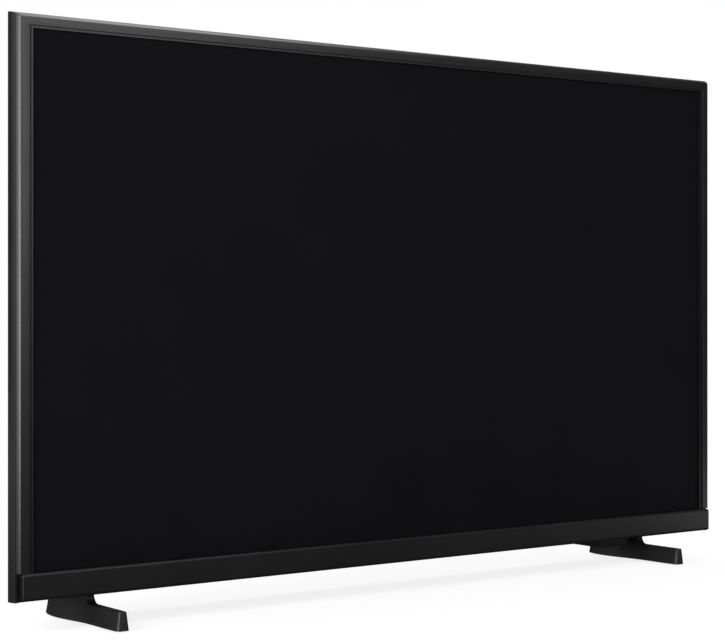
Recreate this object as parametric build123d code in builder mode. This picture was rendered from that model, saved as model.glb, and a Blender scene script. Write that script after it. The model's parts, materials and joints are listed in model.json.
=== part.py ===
from build123d import *
import math
import os

# Flat television of the 43-inch class on two feet, in millimetres.
# X runs to the right seen from the front, Y from the front to the back, Z up from the ground.
# Depths are measured backwards from the flat front face of the bezel.

os.makedirs("parts", exist_ok=True)

# Overall form
face_width = 968.0
face_height = 568.0
ground_clearance = 33.0
toe_reach = 40.0
tail_reach = 111.0
flare = 5.4
rim_depth = 16.0
rim_round = 2.2
overrun = 5.0

# Front bezel
bezel_face = 8.9
bezel_top_face = 7.9
bezel_depth = 5.0
bezel_wall = 1.5
bezel_lip_wall = 1.2
bezel_lip_depth = 2.0
bezel_edge = 0.5
bezel_split = 0.4

# Bottom bar
bar_height = 26.5
bar_proud = 3.6
bar_back = 7.2
bar_wall = 2.0
bar_top_chamfer = 1.8
bar_bottom_round = 3.0
bar_back_round = 1.8
bar_end_inset = 0.8
bar_end_round = 1.5
bar_gap = 0.8
bar_rib_count = 12
bar_rib = 1.6
bar_rib_height = 13.0
bar_seat_gap = 0.3

# Screen panel and the stack behind it
lip_reveal = 4.8
lip_top_reveal = 2.6
lip_front = 0.7
lip_width = 1.8
gasket_thickness = 1.4
panel_overlap = 7.0
panel_top_overlap = 3.8
panel_thickness = 1.8
panel_foot = 6.5
shelf_thickness = 1.4
shelf_width = 6.4
sheet_thickness = 0.4
diffuser_thickness = 1.6
frame_wall = 3.0
frame_side_gap = 0.8
frame_depth = 15.0
panel_edge = 0.3

# Steel tray behind the panel
tray_sheet = 1.0
tray_flange = 16.0
tray_depth = 21.0
tray_slope = 50.0
tray_corner = 40.0
bead_end_gap = 167.3
bead_edge_gap = 120.65
bead_width = 16.0
bead_height = 2.0
bead_count = 4
liner_sheet = 0.4
liner_gap = 0.4

# Light strips
strip_count = 3
strip_edge_gap = 120.65
strip_end_gap = 77.3
strip_width = 16.0
strip_thickness = 1.0
lens_count = 8
lens_end_gap = 57.0
lens_radius = 7.5
lens_height = 5.0
lens_sides = 12
lens_taper = 28.0
lens_hole_gap = 0.8

# Rear cover
cover_wall = 2.5
cover_floor_drop = 1.5
rim_band = 26.0
plateau_depth = 37.0
plateau_slope = 45.0
plateau_corner = 30.0
bulge_depth = 77.0
bulge_slope = 22.0
bulge_side_margin = 29.0
bulge_shoulder_inset = 193.0
bulge_shoulder_drop = 210.0
bulge_top_drop = 154.0
bulge_corner = 42.0
bulge_rear_round = 4.0

# Vents in the rear cover
vent_width = 3.0
vent_length = 26.0
vent_pitch = 9.0
vent_count = 17
vent_drop = 96.0
side_vent_rise = 40.0
side_vent_count = 12
side_vent_offset = 200.0
top_vent_drop = 95.0
top_vent_count = 30
speaker_slot_count = 9
speaker_slot_width = 2.6
speaker_slot_pitch = 5.0
speaker_slot_length = 24.0

# Wall mount on the back
wall_spacing = 200.0
wall_drop = 154.0
wall_bolt_radius = 3.0
wall_bolt_depth = 18.0
wall_boss_radius = 8.0
wall_hole_clearance = 1.0
wall_dish_radius = 13.0
wall_dish_depth = 1.0

# Connector bay and mains bay, recesses in the bulge
bay_inner = 250.0
bay_low = 98.0
bay_high = 268.0
bay_floor_depth = 39.5
mains_low = 100.0
mains_high = 156.0
port_clearance = 0.4

# Circuit boards
board_thickness = 1.6
standoff_height = 8.0
standoff_radius = 4.5
standoff_inset = 8.0
board_inner = 118.0
board_low = 92.0
main_board_high = 276.0
power_board_high = 250.0
board_bay_gap = 0.6
board_hole_gap = 0.2

# Sockets on the main board, placed upwards from the foot of the connector bay
socket_inset = 2.0
aerial_body = 14.0
aerial_barrel_radius = 4.8
aerial_barrel_length = 9.0
aerial_bore_radius = 4.1
aerial_pin_radius = 1.1
aerial_start = 12.0
jack_body = 9.0
jack_bore_radius = 1.8
jack_collar_radius = 3.4
jack_collar_length = 1.4
jack_start = 28.0
optical_body = 10.0
optical_mouth = 6.6
optical_mouth_depth = 5.0
optical_start = 42.0
lan_width = 16.0
lan_height = 13.6
lan_depth = 18.0
lan_mouth_width = 11.8
lan_mouth_height = 8.4
lan_mouth_depth = 12.0
lan_latch_width = 5.0
lan_latch_height = 1.6
lan_start = 59.0
usb_width = 14.4
usb_height = 7.0
usb_depth = 14.0
usb_mouth_width = 12.4
usb_mouth_height = 5.0
usb_tongue = 1.8
usb_count = 2
usb_start = 79.0
usb_pitch = 18.0
hdmi_width = 15.0
hdmi_height = 6.4
hdmi_depth = 13.0
hdmi_mouth_width = 13.6
hdmi_mouth_height = 4.6
hdmi_tongue = 1.2
hdmi_count = 3
hdmi_start = 117.0
hdmi_pitch = 19.0

# Chips, tuner can and heat sink on the main board
chip_size = 14.0
chip_height = 1.2
chip_spread = 34.0
tuner_gap = 2.0
tuner_width = 30.0
tuner_length = 22.0
tuner_height = 6.0
sink_size = 34.0
sink_base = 2.0
sink_height = 14.0
sink_fin = 1.2
sink_fin_count = 7

# Parts on the power board
transformer_width = 46.0
transformer_length = 40.0
transformer_height = 24.0
transformer_core = 9.0
winding_radius = 11.0
cooler_length = 70.0
cooler_height = 20.0
cooler_sheet = 2.0
cooler_inset = 30.0
capacitor_radius = 9.0
capacitor_height = 26.0
capacitor_pitch = 22.0
capacitor_count = 3
capacitor_round = 1.0
capacitor_rise = 28.0
inlet_width = 24.0
inlet_height = 17.0
inlet_depth = 20.0
inlet_pocket_width = 16.4
inlet_pocket_height = 9.6
inlet_pocket_depth = 14.0
inlet_pin_radius = 1.2
inlet_pin_spacing = 8.6
inlet_pin_length = 10.0

# Wiring held inside
source_board_length = 250.0
source_board_width = 14.0
source_board_thickness = 1.2
source_board_front = 10.0
source_board_offset = 170.0
film_thickness = 0.3
film_width = 34.0
film_count = 3
film_pitch = 80.0
film_gap = 0.1
ribbon_width = 24.0
ribbon_thickness = 0.8
ribbon_bend = 4.0
ribbon_offset = 146.0
ribbon_lap = 6.0
ribbon_rise_depth = 35.5
ribbon_plug = 12.0
ribbon_plug_height = 4.0
loom_width = 12.0
loom_thickness = 3.0
loom_place = 60.0
loom_plug = 9.0
loom_plug_height = 7.0
radio_width = 36.0
radio_height = 24.0
radio_thickness = 1.2
radio_chip = 16.0
radio_chip_thickness = 2.0
radio_place_x = 210.0
radio_place_z = 340.0
radio_post = 3.0
radio_post_radius = 2.5

# Speakers
speaker_foot_gap = 86.2
speaker_ribbon_gap = 1.0
speaker_box_height = 52.0
speaker_box_front = 34.5
speaker_box_back = 69.0
speaker_box_round = 5.0
speaker_wall = 2.0
speaker_foot = 0.3
driver_radius = 15.0
driver_hole_radius = 13.5
driver_flange = 1.4
driver_ring = 2.0
driver_rise = 11.0
driver_back = 2.0
magnet_inner_radius = 6.2
magnet_outer_radius = 12.0
magnet_rise = 7.0
pole_radius = 4.0
cone_radius = 11.5
cone_neck_radius = 5.3
cone_sheet = 0.6
cone_low = 0.6
cone_rise = 5.0
coil_rise = 9.6
cone_gap = 0.4

# Receiver module under the bar
module_inset = 146.2
module_width = 43.5
module_front = 19.0
module_length = 51.0
module_drop = 11.0
module_wall = 1.4
module_round = 1.2
window_recess = 0.6
window_margin = 1.0
window_thickness = 0.8
window_fit = 0.1
module_board_thickness = 1.0
module_board_width = 32.0
module_board_length = 34.0
module_board_drop = 1.2
module_post_radius = 1.8
module_post_inset = 3.0
switch_size = 6.0
switch_height = 2.6
button_radius = 4.0
button_clearance = 0.4
button_proud = 1.0
button_flange = 1.2
button_flange_thickness = 0.8
button_seat_gap = 0.1
button_stem_gap = 0.7
button_stem_radius = 1.6
button_place = 26.0

# Feet
foot_inset = 92.8
foot_splay = 0.7
pad_thickness = 0.8
blade_height = 19.5
tail_height = 21.0
widest_depth = 52.0
tail_half_width = 7.8
widest_half_width = 12.3
throat_half_width = 8.8
mid_half_width = 8.0
tip_half_width = 6.6
top_tail_half_width = 4.0
top_widest_half_width = 5.6
top_throat_half_width = 3.4
top_mid_half_width = 2.4
top_tip_half_width = 2.8
tip_lean = 1.9
tail_lean = 4.0
tip_round = 4.4
top_tip_round = 2.3
tail_round = 2.2
top_tail_round = 0.8
neck_front = 28.2
neck_back = 74.0
neck_fillet = 6.5
neck_tail_fillet = 8.0
pad_length = 26.0
pad_width = 5.0
pad_inset = 12.0
foot_screw_front = 40.0
foot_screw_back = 64.0
foot_screw_radius = 2.0
foot_screw_clearance = 0.2
foot_head_radius = 3.6
foot_head_height = 2.6
foot_head_seat = 12.0
foot_screw_reach = 12.0
toe_edge_round = 1.0

# Brackets that carry the feet
bracket_sheet = 3.0
bracket_width = 46.0
bracket_height = 104.0
bracket_boss_radius = 4.6
bracket_boss_height = 14.0
bracket_back = 72.0
bracket_screw_inset = 9.0
thread_gap = 0.05

# Screws
small_head_radius = 2.8
small_head_height = 1.6
small_shank_radius = 1.2
board_screw_length = 6.0
cover_head_radius = 3.4
cover_head_height = 2.0
cover_head_seat = 14.2
cover_shank_radius = 1.5
cover_shank_clearance = 0.2
cover_boss_radius = 5.2
cover_screw_columns = 4
cover_screw_rows = 3

# Places worked out from the sizes
half_face = face_width / 2
face_y = (toe_reach - tail_reach) / 2
bar_floor = ground_clearance
bar_top = bar_floor + bar_height
face_top = ground_clearance + face_height
foot_x = half_face - foot_inset
module_centre_x = half_face - module_inset
speaker_inner = ribbon_offset + ribbon_width / 2 + speaker_ribbon_gap
speaker_outer = foot_x - speaker_foot_gap
speaker_offset = (speaker_inner + speaker_outer) / 2
speaker_box_length = speaker_outer - speaker_inner
cover_floor = bar_floor - cover_floor_drop
flare_radius = (flare**2 + rim_depth**2) / (2 * flare)
cover_front = bezel_depth + bezel_split
cover_low_front = bar_back + bar_seat_gap
rim_back = rim_depth + rim_round
rim_edge = half_face + flare
rim_top = face_top + flare
opening_half = half_face - bezel_face
opening_top = face_top - bezel_top_face
view_half = opening_half - lip_reveal
view_top = opening_top - lip_top_reveal
gasket_front = bezel_lip_depth
panel_front = gasket_front + gasket_thickness
panel_back = panel_front + panel_thickness
panel_half = view_half + panel_overlap
panel_top = view_top + panel_top_overlap
panel_low = bar_top - panel_foot
shelf_back = panel_back + shelf_thickness
prism_back = shelf_back + sheet_thickness
sheet_back = prism_back + sheet_thickness
flange_front = sheet_back + diffuser_thickness
flange_back = flange_front + tray_sheet
tray_base_front = flange_back + tray_depth - tray_sheet
tray_base_back = tray_base_front + tray_sheet
tray_half = panel_half
tray_top = panel_top
tray_low = panel_low
screen_middle = (panel_low + panel_top) / 2
strip_length = 2 * (panel_half - strip_end_gap)
strip_pitch = (panel_top - panel_low - 2 * strip_edge_gap) / (strip_count - 1)
lens_pitch = (strip_length - 2 * lens_end_gap) / (lens_count - 1)
bead_length = 2 * (panel_half - bead_end_gap)
bead_pitch = (panel_top - panel_low - 2 * bead_edge_gap) / (bead_count - 1)
board_front = tray_base_back + standoff_height
board_back = board_front + board_thickness
bulge_inner_back = bulge_depth - cover_wall
bulge_half_width = half_face - bulge_side_margin
bulge_shoulder_half_width = bulge_half_width - bulge_shoulder_inset
bulge_top_height = face_top - bulge_top_drop
bulge_shoulder_height = bulge_top_height - bulge_shoulder_drop
wall_height = bulge_top_height - wall_drop
vent_height = bulge_top_height - vent_drop
side_vent_height = bay_high + side_vent_rise
top_vent_height = face_top - top_vent_drop
bay_wall_inner = bay_inner - cover_wall
board_outer = bay_wall_inner - board_bay_gap
through = bulge_depth + overrun
sole = pad_thickness
module_floor = cover_floor - module_drop
module_back = module_front + module_length
speaker_middle = (speaker_box_front + speaker_box_back) / 2
capacitor_z = board_low + capacitor_rise
hdmi_places = [bay_low + hdmi_start + i * hdmi_pitch for i in range(hdmi_count)]
usb_places = [bay_low + usb_start + i * usb_pitch for i in range(usb_count)]
lan_place = bay_low + lan_start
aerial_place = bay_low + aerial_start
optical_place = bay_low + optical_start
jack_place = bay_low + jack_start
inlet_place = (mains_low + mains_high) / 2


def y_at(depth):
    """Y of a place `depth` behind the flat face."""
    return face_y + depth


def screen_plane(depth):
    """Plane parallel to the screen, seen from the front, `depth` behind the flat face."""
    return Plane.XZ.offset(-y_at(depth))


def flare_at(depth, inset):
    """How far the flared side stands outside the flat face at this depth."""
    return flare - flare_radius + math.sqrt((flare_radius - inset) ** 2 - (rim_depth - depth) ** 2)


def block(left, right, front, back, low, high, mode=Mode.ADD):
    """Rectangular block between two widths, two depths and two heights."""
    with Locations(((left + right) / 2, y_at((front + back) / 2), (low + high) / 2)):
        return Box(right - left, back - front, high - low, mode=mode)


def rods(places, front, back, radius, mode=Mode.ADD):
    """Round rods running front to back, one at each pair of width and height."""
    with Locations(*[(x, y_at((front + back) / 2), z) for x, z in places]):
        return Cylinder(radius, back - front, rotation=(90, 0, 0), mode=mode)


def post(x, depth, low, high, radius, mode=Mode.ADD):
    """Round upright post."""
    with Locations((x, y_at(depth), (low + high) / 2)):
        return Cylinder(radius, high - low, mode=mode)


def side_rod(left, right, depth, z, radius, mode=Mode.ADD):
    """Round rod running left to right."""
    with Locations(((left + right) / 2, y_at(depth), z)):
        return Cylinder(radius, right - left, rotation=(0, 90, 0), mode=mode)


def foot_width_at(side, depth):
    """X of the foot's own axis, which splays outwards to the front."""
    return side * (foot_x + (widest_depth - depth) * math.tan(math.radians(foot_splay)))


def save(piece, label):
    """Label a finished piece and write it."""
    piece.part.label = label
    export_step(piece.part, f"parts/{label}.step")


def flared_block(front, back, inset, floor, rounding):
    """Block inside the flared rim: its plan section crossed with its side section."""
    arc_end = back - rounding
    middle = (front + arc_end) / 2
    turn = math.sin(math.radians(45)) * rounding
    wide = [half_face + flare_at(d, inset) for d in (front, middle, arc_end)]
    tall = [face_top + flare_at(d, inset) for d in (front, middle, arc_end)]
    depths = [y_at(d) for d in (front, middle, arc_end)]
    with BuildPart() as shape:
        with BuildSketch(Plane.XY.offset(floor)):
            with BuildLine():
                Line((0, depths[0]), (wide[0], depths[0]))
                ThreePointArc(*zip(wide, depths))
                if rounding:
                    ThreePointArc(
                        (wide[2], depths[2]),
                        (wide[2] - rounding + turn, depths[2] + turn),
                        (wide[2] - rounding, y_at(back)),
                    )
                Line((wide[2] - rounding, y_at(back)), (0, y_at(back)))
                mirror(about=Plane.YZ)
            make_face()
        extrude(amount=rim_top - floor)
        with BuildSketch(Plane.YZ):
            with BuildLine():
                Line((depths[0], floor), (depths[0], tall[0]))
                ThreePointArc(*zip(depths, tall))
                if rounding:
                    ThreePointArc(
                        (depths[2], tall[2]),
                        (depths[2] + turn, tall[2] - rounding + turn),
                        (y_at(back), tall[2] - rounding),
                    )
                Line((y_at(back), tall[2] - rounding), (y_at(back), floor))
                Line((y_at(back), floor), (depths[0], floor))
            make_face()
        extrude(amount=rim_edge, both=True, mode=Mode.INTERSECT)
    return shape.part


# Front bezel: a thin three-sided frame, its flank flaring outwards, open behind
bezel_skin = flared_block(0, bezel_depth, 0, bar_top + bar_gap, 0)
bezel_hollow = flared_block(bezel_wall, bezel_depth, bezel_wall, bar_floor, 0)
with BuildPart() as front_bezel:
    add(bezel_skin)
    add(bezel_hollow, mode=Mode.SUBTRACT)
    block(
        -opening_half - bezel_lip_wall, opening_half + bezel_lip_wall, 0, bezel_lip_depth,
        bar_top + bar_gap, opening_top + bezel_lip_wall,
    )
    block(-opening_half, opening_half, -overrun, bezel_depth + overrun, bar_floor, opening_top, Mode.SUBTRACT)
    outline = front_bezel.faces().sort_by(Axis.Y)[0].outer_wire().edges()
    outer_sides = [e for e in outline if abs(e.center().X) > half_face - bezel_edge]
    outer_top = [e for e in outline if e.center().Z > face_top - bezel_edge]
    chamfer(outer_sides + outer_top, bezel_edge)
save(front_bezel, "front_bezel")

# Bottom bar: a hollow strip, proud of the bezel, with a chamfered top edge and a rounded lower edge
with BuildPart() as bottom_bar:
    with BuildSketch(Plane.YZ) as section:
        with Locations((y_at((bar_back - bar_proud) / 2), (bar_floor + bar_top) / 2)):
            Rectangle(bar_back + bar_proud, bar_height)
        front_corners = section.vertices().group_by(Axis.X)[0].sort_by(Axis.Y)
        chamfer(front_corners[-1], bar_top_chamfer)
        low_front = section.vertices().group_by(Axis.Y)[0].sort_by(Axis.X)[0]
        fillet(low_front, bar_bottom_round)
        fillet(section.vertices().group_by(Axis.X)[-1], bar_back_round)
    extrude(amount=half_face - bar_end_inset, both=True)
    fillet(bottom_bar.faces().filter_by(Axis.X).edges(), bar_end_round)
    block(
        bar_end_inset + bar_wall - half_face, half_face - bar_end_inset - bar_wall,
        bar_wall - bar_proud, bar_back, bar_floor + bar_wall, bar_top - bar_wall, Mode.SUBTRACT,
    )
    block(
        bar_end_inset + bar_wall - half_face, half_face - bar_end_inset - bar_wall,
        gasket_front - bar_seat_gap, bar_back, bar_floor + bar_wall, bar_top, Mode.SUBTRACT,
    )
    rib_pitch = (face_width - 2 * bar_end_inset) / (bar_rib_count + 1)
    for i in range(bar_rib_count):
        rib_x = (i - (bar_rib_count - 1) / 2) * rib_pitch
        block(
            rib_x - bar_rib / 2, rib_x + bar_rib / 2, bar_wall - bar_proud, bar_back - bar_back_round,
            bar_floor + bar_wall, bar_floor + bar_rib_height,
        )
save(bottom_bar, "bottom_bar")


def bulge_outline(inset):
    """Outline of the rear bulge seen from the front, drawn in by `inset`."""
    low = cover_floor - bulge_corner - bulge_depth
    with BuildSketch(screen_plane(0)) as outline:
        with BuildLine():
            Polyline(
                (-bulge_half_width, low),
                (-bulge_half_width, bulge_shoulder_height - bulge_corner),
                (-bulge_shoulder_half_width, bulge_top_height),
                (bulge_shoulder_half_width, bulge_top_height),
                (bulge_half_width, bulge_shoulder_height - bulge_corner),
                (bulge_half_width, low),
                close=True,
            )
        make_face()
        fillet(outline.vertices(), bulge_corner)
        if inset:
            offset(amount=-inset, mode=Mode.REPLACE)
    return outline.sketch


def raised_back(inset):
    """Plateau and bulge of the rear cover, drawn in by `inset` on every side."""
    band = rim_band + inset
    start = rim_back - inset
    with BuildPart() as shape:
        with BuildSketch(screen_plane(start)):
            with Locations((0, (cover_floor - plateau_corner + rim_top - band) / 2)):
                RectangleRounded(
                    2 * (rim_edge - band), rim_top - band - cover_floor + plateau_corner, plateau_corner,
                )
        extrude(amount=start - plateau_depth + inset, taper=plateau_slope)
        extrude(bulge_outline(inset), amount=inset - bulge_depth, taper=bulge_slope)
        block(
            -rim_edge, rim_edge, -overrun, bulge_depth, cover_floor - bulge_depth * 2 - plateau_corner,
            cover_floor + inset, Mode.SUBTRACT,
        )
        block(-rim_edge, rim_edge, -overrun, start, cover_floor, rim_top, Mode.SUBTRACT)
    return shape.part


# Rear cover: flared rim, thin plateau and deep bulge in one moulded shell
with BuildPart() as cover_hollow:
    add(flared_block(0, rim_back - cover_wall, cover_wall, cover_floor + cover_wall, 0))
    add(raised_back(cover_wall))
    block(
        bay_inner - cover_wall, rim_edge, bay_floor_depth - cover_wall, through,
        bay_low - cover_wall, bay_high + cover_wall, Mode.SUBTRACT,
    )
    block(
        -rim_edge, cover_wall - bay_inner, bay_floor_depth - cover_wall, through,
        mains_low - cover_wall, mains_high + cover_wall, Mode.SUBTRACT,
    )


def cover_screw_places():
    """Places of the screws round the rim, as pairs of width and height."""
    side_x = panel_half - tray_flange / 2
    top_z = panel_top - tray_flange / 2
    column_pitch = 2 * side_x / (cover_screw_columns + 1)
    row_pitch = (top_z - cover_floor) / (cover_screw_rows + 1)
    top = [((i - (cover_screw_columns - 1) / 2) * column_pitch, top_z) for i in range(cover_screw_columns)]
    sides = [
        (side * side_x, cover_floor + (i + 1) * row_pitch)
        for i in range(cover_screw_rows) for side in (-1, 1)
    ]
    return top + sides


def wall_places():
    """Places of the four wall mount bolts."""
    reach = wall_spacing / 2
    return [(x, wall_height + z) for x in (-reach, reach) for z in (-reach, reach)]


def vent_row(centre_x, centre_z, count, front, back):
    """A row of upright slots through the cover."""
    first_x = centre_x - (count - 1) / 2 * vent_pitch
    places = [(first_x + i * vent_pitch, y_at((front + back) / 2), centre_z) for i in range(count)]
    with Locations(*places):
        Box(vent_width, back - front, vent_length)


def port_window(left, right, height, width, place):
    """Window in a bay wall for a socket that stands on a board."""
    block(
        left, right, board_back - port_clearance, board_back + height + port_clearance,
        place - width / 2 - port_clearance, place + width / 2 + port_clearance,
    )


with BuildPart() as cover_openings:
    block(-half_face, half_face, -overrun, cover_low_front, cover_floor - overrun, bar_top + bar_gap)
    block(bay_inner, rim_edge, bay_floor_depth, through, bay_low, bay_high)
    block(-rim_edge, -bay_inner, bay_floor_depth, through, mains_low, mains_high)
    rods(cover_screw_places(), cover_head_seat, through, cover_head_radius + cover_shank_clearance)
    rods(cover_screw_places(), 0, through, cover_shank_radius + cover_shank_clearance)
    rods(wall_places(), bulge_depth - wall_dish_depth, through, wall_dish_radius)
    rods(wall_places(), bulge_inner_back, through, wall_bolt_radius + wall_hole_clearance)
    vent_row(0, vent_height, vent_count, bulge_inner_back - overrun, through)
    for side in (-1, 1):
        vent_row(
            side * side_vent_offset, side_vent_height, side_vent_count, bulge_inner_back - overrun, through,
        )
    vent_row(0, top_vent_height, top_vent_count, plateau_depth - cover_wall - vent_width, through)
    for place in hdmi_places:
        port_window(bay_wall_inner, bay_inner, hdmi_height, hdmi_width, place)
    for place in usb_places:
        port_window(bay_wall_inner, bay_inner, usb_height, usb_width, place)
    port_window(bay_wall_inner, bay_inner, lan_height, lan_width, lan_place)
    port_window(bay_wall_inner, bay_inner, aerial_body, aerial_body, aerial_place)
    port_window(bay_wall_inner, bay_inner, optical_body, optical_body, optical_place)
    port_window(bay_wall_inner, bay_inner, jack_body, jack_body, jack_place)
    port_window(-bay_inner, -bay_wall_inner, inlet_height, inlet_width, inlet_place)
    for side in (-1, 1):
        slots = [
            (side * speaker_offset + (i - (speaker_slot_count - 1) / 2) * speaker_slot_pitch,
             y_at(speaker_middle), cover_floor + cover_wall / 2)
            for i in range(speaker_slot_count)
        ]
        with Locations(*slots):
            Box(speaker_slot_width, speaker_slot_length, cover_wall)
        for depth in (foot_screw_front, foot_screw_back):
            post(
                foot_width_at(side, depth), depth, cover_floor, cover_floor + cover_wall,
                foot_screw_radius + foot_screw_clearance,
            )

with BuildPart() as rear_cover:
    add(flared_block(cover_front, rim_back, 0, cover_floor, rim_round))
    add(raised_back(0))
    rear_face = rear_cover.faces().sort_by(Axis.Y)[-1]
    fillet(rear_face.outer_wire().edges(), bulge_rear_round)
    add(cover_hollow.part, mode=Mode.SUBTRACT)
    rods(cover_screw_places(), flange_back, rim_back - rim_round, cover_boss_radius)
    add(cover_openings.part, mode=Mode.SUBTRACT)
save(rear_cover, "rear_cover")

# Gasket: seals the panel's edge, with a raised lip seen between the bezel and the screen
with BuildPart() as panel_gasket:
    block(-panel_half, panel_half, gasket_front, panel_front, panel_low, panel_top)
    block(
        -view_half - lip_width, view_half + lip_width, lip_front, gasket_front,
        bar_top + bar_gap, view_top + lip_width,
    )
    block(-view_half, view_half, -overrun, panel_front, panel_low, view_top, Mode.SUBTRACT)
save(panel_gasket, "panel_gasket")

# Liquid crystal panel, one glass plate with chamfered edges
with BuildPart() as lcd_panel:
    block(-panel_half, panel_half, panel_front, panel_back, panel_low, panel_top)
    chamfer(lcd_panel.faces().sort_by(Axis.Y)[-1].edges(), panel_edge)
save(lcd_panel, "lcd_panel")

# Middle frame: holds the panel in front and the sheets behind
frame_inner = panel_half + frame_side_gap
frame_outer = frame_inner + frame_wall
with BuildPart() as middle_frame:
    low = panel_low - frame_side_gap
    high = panel_top + frame_side_gap
    block(-frame_outer, frame_outer, panel_front, frame_depth, panel_low, high + frame_wall)
    block(-frame_outer, frame_outer, panel_back, frame_depth, low - frame_wall, panel_low)
    block(-frame_inner, frame_inner, -overrun, frame_depth + overrun, low, high, Mode.SUBTRACT)
    block(-frame_inner, frame_inner, panel_back, shelf_back, low, high)
    block(
        shelf_width - panel_half, panel_half - shelf_width, panel_back, shelf_back,
        panel_low + shelf_width, panel_top - shelf_width, Mode.SUBTRACT,
    )
save(middle_frame, "middle_frame")


def sheet(front, back, name):
    """One flat sheet of the optical stack."""
    with BuildPart() as layer:
        block(-panel_half, panel_half, front, back, panel_low, panel_top)
    save(layer, name)


sheet(shelf_back, prism_back, "prism_sheet")
sheet(prism_back, sheet_back, "diffuser_sheet")
sheet(sheet_back, flange_front, "diffuser_plate")


def tray_hollow(front, back, inset):
    """Tapered space inside the tray from its open front to its base."""
    width = 2 * (tray_half - tray_flange - inset)
    height = tray_top - tray_low - 2 * (tray_flange + inset)
    with BuildPart() as space:
        with BuildSketch(screen_plane(front)):
            with Locations((0, screen_middle)):
                RectangleRounded(width, height, tray_corner)
        extrude(amount=front - back, taper=tray_slope)
    return space.part


def lens_places():
    """Places of the lenses on the light strips."""
    return [
        ((i - (lens_count - 1) / 2) * lens_pitch, screen_middle + (j - (strip_count - 1) / 2) * strip_pitch)
        for i in range(lens_count) for j in range(strip_count)
    ]


def board_screw_places():
    """Places of the screws that hold both boards."""
    low = board_low + standoff_inset
    main = [(x, z) for x in (board_inner + standoff_inset, board_outer - standoff_inset)
            for z in (low, main_board_high - standoff_inset)]
    power = [(-x, z) for x in (board_inner + standoff_inset, board_outer - standoff_inset)
             for z in (low, power_board_high - standoff_inset)]
    return main + power


def bracket_screw_places():
    """Places of the screws that hold the foot brackets to the tray."""
    top = cover_floor + cover_wall + bracket_height
    reach = bracket_width / 2 - bracket_screw_inset
    return [(side * foot_x + x, top - bracket_screw_inset) for side in (-1, 1) for x in (-reach, reach)]


# Steel tray: flange, sloped sides, flat base with pressed beads and board posts
with BuildPart() as chassis_plate:
    block(-tray_half, tray_half, flange_front, flange_back, tray_low, tray_top)
    add(tray_hollow(flange_front, tray_base_back, 0))
    for i in range(bead_count):
        bead_z = screen_middle + (i - (bead_count - 1) / 2) * bead_pitch
        with BuildSketch(screen_plane(tray_base_back)):
            with Locations((0, bead_z)):
                SlotOverall(bead_length, bead_width)
        extrude(amount=-bead_height)
    add(tray_hollow(flange_front, tray_base_front, tray_sheet), mode=Mode.SUBTRACT)
    for i in range(bead_count):
        bead_z = screen_middle + (i - (bead_count - 1) / 2) * bead_pitch
        with BuildSketch(screen_plane(tray_base_front)):
            with Locations((0, bead_z)):
                SlotOverall(bead_length - 2 * tray_sheet, bead_width - 2 * tray_sheet)
        extrude(amount=-bead_height, mode=Mode.SUBTRACT)
    rods(board_screw_places(), tray_base_back, board_front, standoff_radius)
    radio_posts = [(radio_place_x + side * radio_width / 3, radio_place_z) for side in (-1, 1)]
    rods(radio_posts, tray_base_back, tray_base_back + radio_post, radio_post_radius)
    rods(
        board_screw_places() + bracket_screw_places(), tray_base_front, board_front,
        small_shank_radius + thread_gap, Mode.SUBTRACT,
    )
    rods(cover_screw_places(), flange_front, flange_back, cover_shank_radius + thread_gap, Mode.SUBTRACT)
save(chassis_plate, "chassis_plate")

# White reflector sheet that lines the tray, with a hole at each lens
liner_base = tray_base_front - strip_thickness
with BuildPart() as reflector_sheet:
    liner_outside = tray_sheet + liner_gap
    add(tray_hollow(flange_front, liner_base, liner_outside))
    liner_inside = tray_hollow(flange_front, liner_base - liner_sheet, liner_outside + liner_sheet)
    add(liner_inside, mode=Mode.SUBTRACT)
    rods(lens_places(), liner_base - liner_sheet, liner_base, lens_radius + lens_hole_gap, Mode.SUBTRACT)
save(reflector_sheet, "reflector_sheet")

# Light strips on the tray base
with BuildPart() as led_strips:
    for j in range(strip_count):
        strip_z = screen_middle + (j - (strip_count - 1) / 2) * strip_pitch
        block(
            -strip_length / 2, strip_length / 2, liner_base, tray_base_front,
            strip_z - strip_width / 2, strip_z + strip_width / 2,
        )
save(led_strips, "led_strips")

# Domed lenses over the lights
with BuildPart() as led_lenses:
    with BuildSketch(screen_plane(liner_base)):
        with Locations(*lens_places()):
            RegularPolygon(lens_radius, lens_sides)
    extrude(amount=lens_height, taper=lens_taper)
save(led_lenses, "led_lenses")

# Main board with its chips and tuner can
main_middle_x = (board_inner + board_outer) / 2
main_middle_z = (board_low + main_board_high) / 2
with BuildPart() as main_board:
    block(board_inner, board_outer, board_front, board_back, board_low, main_board_high)
    rods(board_screw_places(), board_front, board_back, small_shank_radius + board_hole_gap, Mode.SUBTRACT)
    chip_y = y_at(board_back + chip_height / 2)
    chips = [
        (main_middle_x + column * chip_spread, chip_y, main_middle_z + row * chip_spread)
        for column in (-1, 1) for row in (-1, 1)
    ]
    with Locations(*chips):
        Box(chip_size, chip_height, chip_size / 2)
    tuner_right = bay_inner - aerial_body - tuner_gap
    block(
        tuner_right - tuner_width, tuner_right, board_back, board_back + tuner_height,
        aerial_place - tuner_length / 2, aerial_place + tuner_length / 2,
    )
save(main_board, "main_board")

# Finned heat sink on the main processor
with BuildPart() as heatsink:
    half_sink = sink_size / 2
    block(
        main_middle_x - half_sink, main_middle_x + half_sink, board_back, board_back + sink_base,
        main_middle_z - half_sink, main_middle_z + half_sink,
    )
    fin_pitch = (sink_size - sink_fin) / (sink_fin_count - 1)
    for i in range(sink_fin_count):
        fin_left = main_middle_x - half_sink + i * fin_pitch
        block(
            fin_left, fin_left + sink_fin, board_back + sink_base, board_back + sink_height,
            main_middle_z - half_sink, main_middle_z + half_sink,
        )
save(heatsink, "heatsink")


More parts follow.
